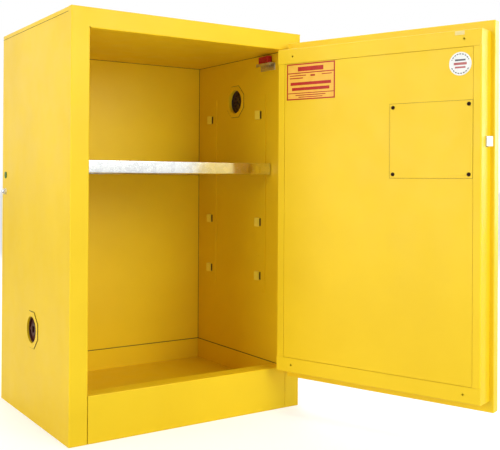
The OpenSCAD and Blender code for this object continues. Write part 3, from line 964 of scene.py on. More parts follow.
@dataclass
class Interior:
    """Liner, sump pan and the four strips with pushed-out lugs."""

    shop: Shop
    strip: tuple[float, float] = (262.0, 752.0)
    strip_width: float = 40.0
    fronts: tuple[float, float] = (85.0, 317.0)
    lug_tops: tuple[float, ...] = (312.5, 445.5, 578.5, 711.5)
    lug_size: Point = (9.0, 15.0, 22.0)
    lug_tilt: float = 5.2
    window: float = 41.75
    # Radius of the dark rods of painted shadow along the liner's seams.
    shade_bead: float = 0.9

    def build(self) -> None:
        """Finish the liner and make the strips."""
        self.shop.keep(["liner_left", "liner_right", "liner_back", "liner_ceiling"], "powder", 0.3)
        self.shop.keep(["sump_pan", "sump_bearers"], "powder", 0.3)
        self.shop.keep(["strike_plate"], "zinc", 0.3)
        self.seams()
        front = self.front_strip()
        back = copied(front, (0, self.fronts[1] - self.fronts[0], 0), "standard_back_left")
        for made, node in ((front, "standard_front_left"), (back, "standard_back_left")):
            twin = node.replace("left", "right")
            for piece, name in ((mirrored(made, twin), twin), (made, node)):
                self.colour(piece)
                fit(piece, Body.CABINET, Slot.POWDER, name)

    def colour(self, piece: bpy.types.Object) -> None:
        """Paint a strip, with painted shadow where it is lanced open and a lighter painted highlight on the
        lugs.

        Args:
            piece: The strip with its lugs.
        """
        paint(piece, *(self.shop.finishes[key] for key in ("powder", "shadow", "lug_highlight")))
        # Faces at the lanced windows take the painted shadow (1); faces standing out on the lugs take the
        # painted highlight (2).
        window = abs(DRAWING.at((self.window, 0, 0)).x)
        for face in piece.data.polygons:
            depth = window - abs(face.center.x)
            face.material_index = 1 if abs(depth) < 0.04 * MM else 2 if depth > 1.5 * MM else 0

    def seams(self) -> None:
        """Run thin dark lines of painted shadow along the liner's corners and round the top of the sump pan.
        """
        half_x, half_y, inset = DRAWING.half_width, DRAWING.half_depth, 1.0
        left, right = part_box("liner_left")[1].x / MM + half_x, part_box("liner_right")[0].x / MM + half_x
        back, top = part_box("liner_back")[0].y / MM + half_y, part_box("liner_ceiling")[0].z / MM
        front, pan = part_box("liner_left")[0].y / MM + half_y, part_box("sump_pan")[1]
        low = pan.z / MM
        corners = [((x, back, low), (x, back, top)) for x in (left, right)]
        corners += [((x, front, top), (x, back, top)) for x in (left, right)]
        corners += [((left, back, top), (right, back, top))]
        inner = pan.x / MM + half_x - inset, pan.y / MM + half_y - inset
        outer = 2 * half_x - inner[0]
        corners += [((x, front, low), (x, inner[1], low)) for x in (outer, inner[0])]
        corners += [((outer, inner[1], low), (inner[0], inner[1], low))]
        # Dark rods along the liner's corners and round the pan's top: painted shadow.
        lines = [rod("line", start, end, self.shade_bead, 12) for start, end in corners]
        seam = smooth(joined("liner_seams", lines))
        fit(paint(seam, self.shop.finishes["shadow"]), Body.CABINET, Slot.SEAL)

    def lug(self) -> bpy.types.Object:
        """Lance one lug out of the strip: closed above, below and behind, open to the front.

        Returns:
            The lowest lug of the front left strip.
        """
        out, wide, tall = self.lug_size
        y = self.fronts[0] + self.strip_width / 2 + 0.5
        top = self.lug_tops[0]
        lug = block("lug", (41.2, y, top - tall), (41.6 + out, y + wide, top))
        wall_x, front_y = DRAWING.at((41.2, y, 0)).x, DRAWING.at((0, y, 0)).y
        with editing(lug):
            pick_edges(lug, lambda m, d: m.x > wall_x + 2 * MM and m.y < front_y + MM and abs(d.z) > 0.9)
            bpy.ops.transform.translate(value=(-self.lug_tilt * MM, 0, 0))
            pick_edges(lug, lambda m, d: m.x > wall_x + 2 * MM and abs(d.z) > 0.9 and m.y > front_y + MM
                       or m.x > wall_x + 2 * MM and abs(d.y) > 0.8)
            bpy.ops.mesh.bevel(offset=1.4 * MM, segments=3, affect="EDGES")
            pick_faces(lug, lambda c, n: n.x < -0.9 or n.y < -0.9)
            bpy.ops.mesh.delete(type="FACE")
        modify(lug, "SOLIDIFY", thickness=1.6 * MM, offset=-1.0, use_even_offset=True)
        return soften(lug, 0.25, 2, 40)

    def front_strip(self) -> bpy.types.Object:
        """Make one strip with its lugs, the patches of painted shadow beside them and the weld marks between
        them.

        Returns:
            The front left strip.
        """
        y = self.fronts[0]
        low, high = self.strip
        strip = block("strip", (40.0, y, low), (41.6, y + self.strip_width, high))
        lug = self.lug()
        lugs = [lug] + [copied(lug, (0, 0, top - self.lug_tops[0])) for top in self.lug_tops[1:]]
        mouth, tall = y + self.strip_width / 2 + 0.5, self.lug_size[2]
        # Dark blocks in the lanced windows beside the lugs: painted shadow.
        lugs += [block("window", (41.3, mouth - 3.4, top - tall + 1.5), (self.window, mouth + 11, top - 1.5))
                 for top in self.lug_tops]
        weld_y = y + self.strip_width / 2 + 7
        for z in (286.0, 352.0, 485.0, 640.0, 738.0):
            clear_selection()
            bpy.ops.mesh.primitive_uv_sphere_add(segments=16, ring_count=8, radius=2.6 * MM,
                                                 location=DRAWING.at((42.9, weld_y, z)))
            pierce(strip, bpy.context.object)
        soften(strip, 0.3, 2, 50)
        return smooth(joined("standard_front_left", [strip, *lugs]))


@dataclass
class Shelf:
    """One zinc-coated shelf with its front lip rolled back underneath."""

    shop: Shop
    span: tuple[float, float] = (42.2, 532.8)
    reach: tuple[float, float] = (62.0, 410.0)
    top: float = 580.0
    lip: float = 28.0

    def build(self) -> None:
        """Fold the shelf and set its two ribs under it."""
        left, right = self.span
        front, back = self.reach
        sheet = folded("shelf_tray", ((left, back, self.top - self.lip), (left, back, self.top)),
                       [(0, front - back, 0), (0, 0, -self.lip), (0, 12, 0)], (right - left, 0, 0),
                       (0, -1, 0), radius=2.4)
        ease(sheet)
        start, high, low = front + 3, self.top - 1.3, self.top - 20
        ribs = [folded("rib", ((x, start, high), (x, start, low)), [(8 * side, 0, 0)],
                       (0, back - front - 6, 0), (side, 0, 0), radius=2.0)
                for x, side in ((left + 10.8, 1), (right - 10.8, -1))]
        shelf = joined("shelf_tray", [sheet, *ribs])
        fit(paint(shelf, self.shop.finishes["zinc_sheet"]), Body.SHELF, Slot.ZINC_SHEET, "shelf")


# ---------------------------------------------------------------- vents and earth


@dataclass
class Vents:
    """The two vents: painted octagonal flanges, bungs, seals and flame arresters."""

    shop: Shop
    centre: tuple[float, float] = (226.0, 202.0)
    rise: float = 540.0
    across: float = 80.0
    bore: float = 29.6
    collar: float = 4.8
    wall: float = 40.0

    def build(self) -> None:
        """Make the low left vent and mirror it for the high right one."""
        for tag in ("low", "high"):
            self.shop.keep([f"vent_seal_{tag}"], "rubber", 0.2)
            # The ducts take the arresters' dark finish: painted shade inside the vents.
            self.shop.keep([f"vent_duct_{tag}"], "mesh_and_duct_shade", 0.2)
            self.shop.keep([f"vent_arrester_{tag}"], "mesh_and_duct_shade", 0.0)
        self.pair(self.outer_flange(), "vent_flange", Slot.POWDER, (Body.CABINET, Body.CABINET))
        self.pair(self.inner_flange(), "vent_inner", Slot.POWDER, (Body.CABINET, Body.CABINET))
        bung = paint(self.bung(), self.shop.finishes["bung"])
        self.pair(bung, "vent_plug", Slot.BUNG, (Body.BUNG_LOW, Body.BUNG_HIGH))

    def pair(self, low: bpy.types.Object, stem: str, slot: Slot, bodies: tuple[Body, Body]) -> None:
        """Place a left-hand piece low on the left and its mirror image high on the right.

        Args:
            low: The left-hand piece, painted.
            stem: First part of the CAD nodes' names.
            slot: Material slot.
            bodies: Bodies of the low and the high piece.
        """
        high = mirrored(low, stem, self.rise)
        for piece, tag, body in ((low, "low", bodies[0]), (high, "high", bodies[1])):
            fit(piece, body, slot, f"{stem}_{tag}")

    def plate(self, start: float, end: float, grow: float = 0.0) -> bpy.types.Object:
        """Cut an octagonal plate.

        Args:
            start: Depth of its outer face.
            end: Depth of its inner face.
            grow: How much larger than the flange it is across its flats.

        Returns:
            The plate.
        """
        y, z = self.centre
        corner = (self.across + grow) / 2 / math.cos(math.radians(22.5))
        return rod("plate", (start, y, z), (end, y, z), corner, 8, 22.5)

    def outer_flange(self) -> bpy.types.Object:
        """Turn the outer flange: octagon, collar and the stop at the collar's inner end.

        Returns:
            The low left flange on its bed of sealer.
        """
        y, z = self.centre
        plate = self.plate(-1.5, 0.0)
        welded(plate, rod("collar", (-1.5, y, z), (14, y, z), self.bore + self.collar, 64))
        pierce(plate, rod("bore", (-3, y, z), (12, y, z), self.bore, 64),
               rod("stop", (11, y, z), (16, y, z), self.bore - 4, 64))
        return self.bedded(soften(plate, 0.45, 2, 30), -0.4, 0.0)

    def bedded(self, flange: bpy.types.Object, start: float, end: float) -> bpy.types.Object:
        """Bed a flange on a dark plate of painted shadow that shows round its octagon.

        Args:
            flange: A flange in its left-hand place.
            start: Depth of the dark bed's outer face.
            end: Depth of its inner face.

        Returns:
            The flange and its bed as one piece, the bed and the octagon's edge faces in painted shadow on the
            second material.
        """
        y, z = self.centre
        bed = self.plate(start, end, 2.2)
        pierce(bed, rod("bore", (start - 2, y, z), (end + 2, y, z), self.bore + 4, 64))
        whole = joined("flange", [bed, flange])
        paint(whole, self.shop.finishes["powder"], self.shop.finishes["shadow"])
        levels = [DRAWING.at((v, 0, 0)).x for v in (start, end)]
        centre = DRAWING.at((0, y, z))
        # The bed's flat faces and the octagon's edge faces take the dark second material: painted shadow.
        for face in whole.data.polygons:
            away = math.hypot(face.center.y - centre.y, face.center.z - centre.z)
            near = min(abs(face.center.x - level) for level in levels) < 0.02 * MM
            flat = near and abs(face.normal.x) > 0.9
            rim = abs(face.normal.x) < 0.3 and away > (self.across / 2 - 1) * MM
            face.material_index = int(flat or rim)
        return whole

    def inner_flange(self) -> bpy.types.Object:
        """Turn the inner flange that trims the hole in the liner.

        Returns:
            The low left flange on its bed of sealer.
        """
        y, z = self.centre
        face = self.wall + 1.5
        plate = self.plate(self.wall, face)
        welded(plate, rod("collar", (self.wall - 8, y, z), (face, y, z), self.bore + self.collar, 64))
        pierce(plate, rod("bore", (self.wall - 9, y, z), (face + 1.5, y, z), self.bore + 0.4, 64))
        return self.bedded(soften(plate, 0.9, 2, 30), self.wall, self.wall + 0.4)

    def bung(self) -> bpy.types.Object:
        """Mould the bung: a dished disc with a square-drive boss and two lugs.

        Returns:
            The low left bung.
        """
        y, z = self.centre
        radius = self.bore - 0.1
        bung = rod("bung", (2.5, y, z), (10.3, y, z), radius, 64)
        with editing(bung):
            pick_faces(bung, lambda c, n: n.x < -0.9)
            bpy.ops.mesh.inset(thickness=3.4 * MM)
            bpy.ops.transform.resize(value=(1, 0.99, 0.99))
            bpy.ops.mesh.extrude_region_move(TRANSFORM_OT_translate={"value": (4.0 * MM, 0, 0)})
            bpy.ops.mesh.inset(thickness=11.0 * MM)
            bpy.ops.mesh.extrude_region_move(TRANSFORM_OT_translate={"value": (-3.3 * MM, 0, 0)})
        pierce(bung, block("drive", (0, y - 7, z - 7), (8, y + 7, z + 7)))
        lugs = [block("lug", (3.6, middle - 6.4, z - 3), (9.6, middle + 6.4, z + 3))
                for middle in (y - 17.5, y + 17.5)]
        for lug in lugs:
            soften(lug, 1.0, 3, 40)
        soften(bung, 0.6, 3, 30)
        return joined("bung", [bung, *lugs])


@dataclass
class EarthPoint:
    """Earthing stud with its thread, nuts, washers and marker."""

    shop: Shop
    place: tuple[float, float] = (425.0, 508.0)
    tip: float = -9.6
    thread: float = 1.25
    turns: int = 16
    radius: float = 4.0
    root: float = 0.84

    def build(self) -> None:
        """Cut the thread and finish the nuts, the washers and the marker."""
        y, z = self.place
        middle = DRAWING.at((self.tip + self.thread / 2, y, z))
        turn = rod("earth_thread", (self.tip, y, z), (self.tip + self.thread, y, z), self.radius, 32)
        with editing(turn):
            pick_faces(turn, lambda c, n: abs(n.x) > 0.9)
            bpy.ops.transform.resize(value=(1, self.root, self.root), center_override=tuple(middle))
            pick_faces(turn, lambda c, n: abs(n.x) < 0.5)
            bpy.ops.mesh.subdivide(number_cuts=1)
        for vertex in turn.data.vertices:
            away = Vector((0, vertex.co.y - middle.y, vertex.co.z - middle.z))
            if abs(vertex.co.x - middle.x) < 0.1 * MM and away.length > self.radius / 2 * MM:
                crest = middle + away.normalized() * self.radius * MM
                vertex.co.y, vertex.co.z = crest.y, crest.z
        stud = modify(turn, "ARRAY", count=self.turns, use_relative_offset=False, use_constant_offset=True,
                      constant_offset_displace=(self.thread * MM, 0, 0), use_merge_vertices=True,
                      merge_threshold=0.01 * MM)
        smooth(stud)
        fit(paint(stud, self.shop.finishes["lock"]), Body.CABINET, Slot.ZINC_PLATE, "earth_stud")
        self.shop.keep(["earth_nuts", "earth_washers"], "lock", 0.45)
        self.shop.keep(["earth_marker"], "green", 0.4)


@dataclass
class LinkPoint:
    """Plated bracket high on the right inner wall, with the red block over it."""

    shop: Shop
    reach: tuple[float, float] = (47.0, 107.0)
    foot: float = 807.0

    def build(self) -> None:
        """Fold the bracket, pierce its slots and mould the block."""
        a, b = self.reach
        bracket = folded("link_bracket", ((40, a, self.foot), (40, a, self.foot + 17.5)),
                         [(16, 0, 0), (0, 0, -7.5)], (0, b - a, 0), (1, 0, 0), 1.5, 1.8)
        for y in (a + 16, b - 16):
            pierce(bracket, block("slot", (45, y - 7, self.foot + 14), (52, y + 7, self.foot + 20)))
        ease(bracket)
        bracket = flipped(bracket)
        fit(paint(bracket, self.shop.finishes["zinc"]), Body.CABINET, Slot.ZINC_PLATE, "link_bracket")
        red = block("red_block", (41.7, a + 12, 824.7), (54, b - 8, 841))
        with editing(red):
            pick_faces(red, lambda c, n: n.x > 0.9)
            bpy.ops.mesh.inset(thickness=3.0 * MM)
            bpy.ops.mesh.extrude_region_move(TRANSFORM_OT_translate={"value": (-1.6 * MM, 0, 0)})
        soften(red, 0.9, 3, 40)
        red = flipped(red)
        fit(paint(red, self.shop.finishes["red"]), Body.CABINET, Slot.RED, "link_block")


@dataclass
class Hinge:
    """Full-height piano hinge and its rivets."""

    shop: Shop

    def build(self) -> None:
        """Finish the leaves, pin and rivets."""
        self.shop.keep(["hinge_leaf_frame", "hinge_leaf_door"], "powder", 0.15)
        self.shop.keep(["hinge_pin", "hinge_rivets_frame", "hinge_rivets_door"], "zinc", 0.15)


# ---------------------------------------------------------------- door


@dataclass
class DoorShell:
    """Outer pan of the door with rounded edges and a return lip."""

    shop: Shop
    swing: Swing
    low: Point = (32.0, -23.0, 80.0)
    high: Point = (530.4, -1.0, 860.0)
    mouth: tuple[float, float, float] = (42.3, 102.2, 837.8)
    dish: tuple[float, float, float, float] = (67.5, 148.5, 559.5, 676.5)

    def build(self) -> None:
        """Press the pan, open its back and cut the hole for the paddle dish."""
        pan = block("door_pan", self.low, self.high)
        left = DRAWING.at((self.mouth[0], 0, 0)).x
        bottom, top = (z * MM for z in self.mouth[1:])
        with editing(pan):
            for place, normal in (((left, 0, 0), (1, 0, 0)), ((0, 0, bottom), (0, 0, 1)),
                                  ((0, 0, top), (0, 0, 1))):
                pick_faces(pan, lambda c, n: n.y > 0.9)
                bpy.ops.mesh.bisect(plane_co=place, plane_no=normal)
            pick_faces(pan, lambda c, n: n.y > 0.9 and left < c.x and bottom < c.z < top)
            bpy.ops.mesh.delete(type="FACE")
            pick_edges(pan, lambda m, d: self.is_outer(m))
            bpy.ops.mesh.bevel(offset=1.8 * MM, segments=3, affect="EDGES")
        modify(pan, "SOLIDIFY", thickness=SHEET * MM, offset=-1.0, use_even_offset=True)
        x0, x1, z0, z1 = self.dish
        pierce(pan, block("hole", (x0, -30, z0), (x1, -15, z1)))
        smooth(pan)
        self.swing.open(pan)
        fit(paint(pan, self.shop.finishes["powder"]), Body.DOOR, Slot.POWDER, "door_skin")
        self.shop.keep(["door_stiffener"], "powder", 0.3)

    def is_outer(self, middle: Vector) -> bool:
        """Tell the pan's outer edges from its cut lines and its open edge by the hinge.

        Args:
            middle: The middle of an edge.

        Returns:
            Whether the edge is one to round.
        """
        low, high, near = DRAWING.at(self.low), DRAWING.at(self.high), 0.1 * MM
        ends = sum(min(abs(middle[i] - low[i]), abs(middle[i] - high[i])) < near for i in range(3))
        by_hinge = abs(middle.x - high.x) < near and abs(middle.y - high.y) < near
        return ends >= 2 and not (by_hinge and self.mouth[1] * MM < middle.z < self.mouth[2] * MM)


@dataclass
class DoorInner:
    """Inner box of the door: four folded channels round a flat panel."""

    shop: Shop
    swing: Swing
    left: float = 43.7
    slope: float = 2.6
    right: float = 530.4
    bottom: float = 101.0
    top: float = 839.0
    lip: float = -1.0
    face: float = 40.0
    rims: tuple[float, float, float, float] = (16.5, 18.5, 33.0, 34.0)
    bolt: tuple[float, float] = (618.0, 10.8)
    fold: float = 2.6

    def build(self) -> None:
        """Fold the four channels and keep the flat panel between them."""
        free, hinge, low, high = self.rims
        wide, mid = self.right - self.left, (self.bottom + 1.5, self.top - self.bottom - 3.0)
        top = folded("rim_top", ((self.left, self.lip, self.top), (self.left, self.face, self.top)),
                     [(0, 0, -high)], (wide, 0, 0), (0, 0, -1), radius=self.fold)
        base = folded("rim_bottom", ((self.left, self.lip, self.bottom), (self.left, self.face, self.bottom)),
                      [(0, 0, low)], (wide, 0, 0), (0, 0, 1), radius=self.fold)
        toe = self.left - self.slope
        lead = folded("rim_free", ((toe, self.lip, mid[0]), (self.left, self.face, mid[0])),
                      [(free, 0, 0)], (0, 0, mid[1]), (1, 0, 0), radius=self.fold)
        butt = folded("rim_hinge", ((self.right, self.lip, mid[0]), (self.right, self.face, mid[0])),
                      [(-hinge, 0, 0)], (0, 0, mid[1]), (-1, 0, 0), radius=self.fold)
        for rim in (lead, butt):
            for z0, z1 in ((self.bottom - 1, self.bottom + low + 0.3), (self.top - high - 0.3, self.top + 1)):
                overlap = (self.left - 9, self.face - 1.5, z0), (self.right + 9, self.face + 1, z1)
                pierce(rim, block("under", *overlap))
        z, half = self.bolt
        pierce(lead, block("slot", (self.left - 4, 8.2, z - half), (self.left + 2.5, 19.8, z + half)))
        for rim, height in ((top, self.top - 18), (base, self.bottom + 17)):
            for x in (self.left + 36, self.right - 40):
                pierce(rim, rod("weep", (x, self.face - 3, height), (x, self.face + 2, height), 2.0, 24))
        for rim, node in ((top, "door_channel_top"), (base, "door_channel_bottom"),
                          (lead, "door_channel_free"), (butt, "door_channel_hinge")):
            ease(rim)
            self.swing.open(rim)
            fit(paint(rim, self.shop.finishes["powder"]), Body.DOOR, Slot.POWDER, node)
        self.shop.keep(["door_panel", "access_plate"], "powder", 0.25)


@dataclass
class AccessPlugs:
    """Four push-in plugs that hold the cover plate over the latch."""

    shop: Shop
    swing: Swing
    columns: tuple[float, float] = (68.8, 234.8)
    rows: tuple[float, float] = (552.5, 691.5)
    face: float = 40.4
    plate: tuple[float, float, float, float] = (61.3, 242.3, 545.0, 699.0)

    def seam(self) -> None:
        """Lay the thin bead of painted shadow that shows round the cover plate."""
        x0, x1, z0, z1 = self.plate
        # A thin dark bead in the gap round the cover plate: painted shadow.
        bead = block("cover_bead", (x0 - 0.45, self.face - 1.2, z0 - 0.9),
                     (x1 + 0.9, self.face - 0.45, z1 + 0.9))
        middle = DRAWING.at(((x0 + x1) / 2, 0, (z0 + z1) / 2))
        wide, tall = ((x1 - x0) / 2 - 0.3) * MM, ((z1 - z0) / 2 - 0.3) * MM
        with editing(bead):
            pick_faces(bead, lambda c, n: abs(n.y) > 0.9)
            bpy.ops.mesh.inset(thickness=1.6 * MM)
            bpy.ops.mesh.delete(type="FACE")
            pick_edges(bead, lambda m, d: abs(m.x - middle.x) < wide and abs(m.z - middle.z) < tall)
            bpy.ops.mesh.bridge_edge_loops()
        soften(bead, 0.2, 2, 40)
        self.swing.open(bead)
        fit(paint(bead, self.shop.finishes["shade_bead"]), Body.DOOR, Slot.SEAL)

    def build(self) -> None:
        """Mould one domed plug and copy it to the four corners."""
        x, z = self.columns[0], self.rows[0]
        plug = rod("plug", (x, self.face - 1.5, z), (x, self.face + 1.2, z), 4.0, 24)
        with editing(plug):
            pick_faces(plug, lambda c, n: n.y > 0.9)
            bpy.ops.mesh.inset(thickness=1.2 * MM)
            bpy.ops.transform.translate(value=(0, 0.5 * MM, 0))
        soften(plug, 0.3, 2, 40)
        self.seam()
        plugs = [plug] + [copied(plug, (c - x, 0, r - z)) for c in self.columns for r in self.rows
                          if (c, r) != (x, z)]
        made = self.swing.open(joined("cover_plugs", plugs))
        smooth(made)
        fit(paint(made, self.shop.finishes["plug"]), Body.DOOR, Slot.BLACK, "access_plugs")


@dataclass
class DoorPrints:
    """Blank-worded label, round sticker and small tag on the inside of the door."""

    shop: Shop
    swing: Swing
    face: float = 39.4
    film: float = 0.4
    label: tuple[float, float, float, float] = (377.4, 505.4, 721.0, 803.0)
    sticker: tuple[float, float, float] = (87.7, 772.0, 23.4)

    def build(self) -> None:
        """Print and stick down the label and the round sticker."""
        self.print_label()
        self.print_sticker()
        self.shop.keep(["door_tag"], "tag", 0.1)

    def bars(self) -> list[tuple[float, float, float, float]]:
        """Lay out the label's printed areas.

        Returns:
            Left, right, low and high of each.
        """
        x0, x1, z0, z1 = self.label
        rows = [(x0, x1, z0, z0 + 2.8), (x0, x1, z1 - 2.8, z1), (x0, x0 + 3.0, z0, z1)]
        rows += [(x1 - 3.0, x1, z0, z1), (x0, x1, z1 - 22.5, z1 - 20.2), (x0, x1, z0 + 14.2, z0 + 16)]
        rows += [(x0 + 30, x1 - 30, z1 - 17.5, z1 - 7.5)]
        rows += [(x0 + 76, x1 - 8, z1 - 28, z1 - 26), (x0 + 8, x0 + 34, z1 - 28, z1 - 26),
                 (x0 + 52, x0 + 64, z1 - 30, z1 - 26), (x0 + 84, x1 - 8, z1 - 34, z1 - 31.6)]
        rows += [(x0 + 10, x1 - 10, z0 + 33, z0 + 40), (x0 + 14, x1 - 14, z0 + 21, z0 + 28)]
        rows += [(x0 + 24, x1 - 24, z0 + 9.5, z0 + 11.5), (x0 + 32, x1 - 32, z0 + 5, z0 + 6.8)]
        return rows

    def print_label(self) -> None:
        """Cut the label's sheet along its print and mark the printed faces."""
        x0, x1, z0, z1 = self.label
        centre = DRAWING.at(((x0 + x1) / 2, self.face + self.film, (z0 + z1) / 2))
        upright = Matrix.Rotation(math.radians(-90), 4, "X")
        size = Matrix.Diagonal(((x1 - x0) * MM, (z1 - z0) * MM, 1.0, 1.0))
        sheet = plain_sheet("rating_label", Matrix.Translation(centre) @ upright @ size)
        bars = self.bars()
        with editing(sheet):
            for x in sorted({round(v, 3) for bar in bars for v in bar[:2]} - {x0, x1}):
                bpy.ops.mesh.select_all(action="SELECT")
                bpy.ops.mesh.bisect(plane_co=DRAWING.at((x, 0, 0)), plane_no=(1, 0, 0))
            for z in sorted({round(v, 3) for bar in bars for v in bar[2:]} - {z0, z1}):
                bpy.ops.mesh.select_all(action="SELECT")
                bpy.ops.mesh.bisect(plane_co=(0, 0, z * MM), plane_no=(0, 0, 1))
        areas = [(DRAWING.at((a, 0, 0)).x, DRAWING.at((b, 0, 0)).x, c * MM, d * MM) for a, b, c, d in bars]
        paint(sheet, self.shop.finishes["label"], self.shop.finishes["label_print"])
        for face in sheet.data.polygons:
            if any(a < face.center.x < b and c < face.center.z < d for a, b, c, d in areas):
                face.material_index = 1
        modify(sheet, "SOLIDIFY", thickness=self.film * MM, offset=-1.0)
        self.swing.open(sheet)
        fit(sheet, Body.DOOR, Slot.LABEL, "door_label")

    def print_sticker(self) -> None:
        """Cut the round sticker with its ring and a plain barred emblem."""
        x, z, radius = self.sticker
        disc = rod("round_sticker", (x, self.face, z), (x, self.face + self.film, z), radius, 64)
        centre = DRAWING.at((x, self.face + self.film, z))
        bars = ((-9.0, -5.5, 11.0, 2), (-2.5, 2.5, 13.5, 2), (5.5, 9.0, 11.0, 1))
        with editing(disc):
            pick_faces(disc, lambda c, n: n.y > 0.9)
            bpy.ops.mesh.inset(thickness=3.0 * MM)
            bpy.ops.mesh.inset(thickness=2.0 * MM)
            cuts = {((0, 0, centre.z + v * MM), (0, 0, 1)) for bar in bars for v in bar[:2]}
            cuts |= {((centre.x + v * MM, 0, 0), (1, 0, 0)) for bar in bars for v in (-bar[2], bar[2])}
            for place, normal in sorted(cuts):
                pick_faces(disc, lambda c, n: n.y > 0.9 and (c - centre).length < (radius - 5.2) * MM)
                bpy.ops.mesh.bisect(plane_co=place, plane_no=normal)
        paint(disc, *(self.shop.finishes[n] for n in ("sticker", "sticker_print", "emblem_print")))
        for face in disc.data.polygons:
            away = (face.center - centre) / MM
            if face.normal.y < 0.9:
                continue
            around = math.degrees(math.atan2(away.z, away.x))
            if radius - 5.0 < away.length < radius - 3.0 and abs(abs(abs(around) - 90) - 90) > 22:
                face.material_index = int(around % 17 < 10)
            for low, high, half, colour in bars:
                if low < away.z < high and abs(away.x) < half:
                    face.material_index = colour
        self.swing.open(disc)
        fit(disc, Body.DOOR, Slot.STICKER, "door_sticker")


@dataclass
class Latch:
    """Paddle in its dish, slam bolt, case and key lock."""

    shop: Shop
    swing: Swing
    face: float = -23.0
    centre: tuple[float, float] = (108.0, 618.0)
    dish_size: tuple[float, float] = (96.0, 132.0)
    bezel: float = 9.0
    proud: float = 2.2
    depth: float = 24.0

    def build(self) -> None:
        """Make the dish and the paddle and finish the rest."""
        self.dish()
        self.paddle()
        self.shop.keep(["latch_bolt"], "zinc", 0.5)
        self.shop.keep(["latch_case"], "zinc", 0.4)
        self.shop.keep(["lock_barrel", "lock_plug"], "lock", 0.35)

    def dish(self) -> None:
        """Draw the dish from one sheet and pierce it for the lock and the pivots."""
        x, z = self.centre
        wide, tall = self.dish_size
        front = DRAWING.at((0, self.face - self.proud, 0)).y
        place = Matrix.Translation(DRAWING.at((x, self.face - self.proud, z)))
        upright = Matrix.Rotation(math.radians(90), 4, "X")
        size = Matrix.Diagonal((wide * MM, tall * MM, 1.0, 1.0))
        dish = plain_sheet("dish", place @ upright @ size)
        with editing(dish):
            bpy.ops.mesh.select_all(action="SELECT")
            bpy.ops.mesh.inset(thickness=self.bezel * MM)
            bpy.ops.mesh.extrude_region_move(
                TRANSFORM_OT_translate={"value": (0, (self.depth + self.proud - SHEET) * MM, 0)})
            pick_edges(dish, lambda m, d: abs(m.y - front) < 0.1 * MM
                       and (abs(m.x - DRAWING.at((x, 0, 0)).x) > (wide / 2 - 1) * MM
                            or abs(m.z - z * MM) > (tall / 2 - 1) * MM))
            bpy.ops.mesh.extrude_edges_move(TRANSFORM_OT_translate={"value": (0, self.proud * MM, 0)})
            pick_edges(dish, lambda m, d: m.y > front - 0.1 * MM and not (
                abs(m.y - DRAWING.at((0, self.face, 0)).y) < 0.1 * MM and abs(d.y) < 0.5))
            bpy.ops.mesh.bevel(offset=1.0 * MM, segments=3, affect="EDGES")
        modify(dish, "SOLIDIFY", thickness=SHEET * MM, offset=-1.0, use_even_offset=True)
        pierce(dish, rod("lock", (x, self.face, z - 36), (x, self.face + self.depth + 3, z - 36), 9.2, 48),
               rod("pivot", (x - 50, self.face + 5, z + 48), (x + 50, self.face + 5, z + 48), 2.05, 24))
        smooth(dish)
        self.swing.open(dish)
        fit(paint(dish, self.shop.finishes["black"]), Body.DOOR, Slot.BLACK, "paddle_dish")

    def paddle(self) -> None:
        """Fold the paddle with its hooked lower edge and pivot pins."""
        x, z = self.centre
        half, foot = 36.5, z - 14
        plate = folded("paddle_plate", ((x - half, self.face + 3.5, foot), (x - half, self.face - 1.2, foot)),
                       [(0, 0, 67), (0, 8.2, 0)], (2 * half, 0, 0), (0, 0, 1), 2.4, 1.6)
        soften(plate, 0.4, 2, 40)
        grip = block("grip", (x - 26, self.face - 1.7, z - 8), (x + 26, self.face - 1.0, z - 2))
        soften(grip, 0.3, 2, 40)
        reach, axis = half + 3.5, (self.face + 5, z + 48)
        pins = rod("pins", (x - reach, *axis), (x + reach, *axis), 2.0, 32)
        soften(pins, 0.3, 2, 40)
        made = self.swing.open(joined("paddle_made", [plate, grip, pins]))
        smooth(made)
        fit(paint(made, self.shop.finishes["black_paint"]), Body.PADDLE, Slot.BLACK_METAL, "paddle")


# ---------------------------------------------------------------- studio


@dataclass(frozen=True)
class Lamp:
    """A square soft light: where it hangs, what it faces, its side, power and tint."""

    name: str
    place: Point
    aim: Point
    size: float
    power: float
    tint: Colour = (1.0, 1.0, 1.0)

    def hang(self) -> None:
        """Add the light to the scene and turn it to what it faces."""
        lamp = bpy.data.lights.new(self.name, "AREA")
        lamp.size, lamp.energy, lamp.color = self.size, self.power, self.tint
        obj = bpy.data.objects.new(self.name, lamp)
        bpy.context.scene.collection.objects.link(obj)
        obj.location = self.place
        obj.rotation_euler = (Vector(self.aim) - Vector(self.place)).to_track_quat("-Z", "Y").to_euler()


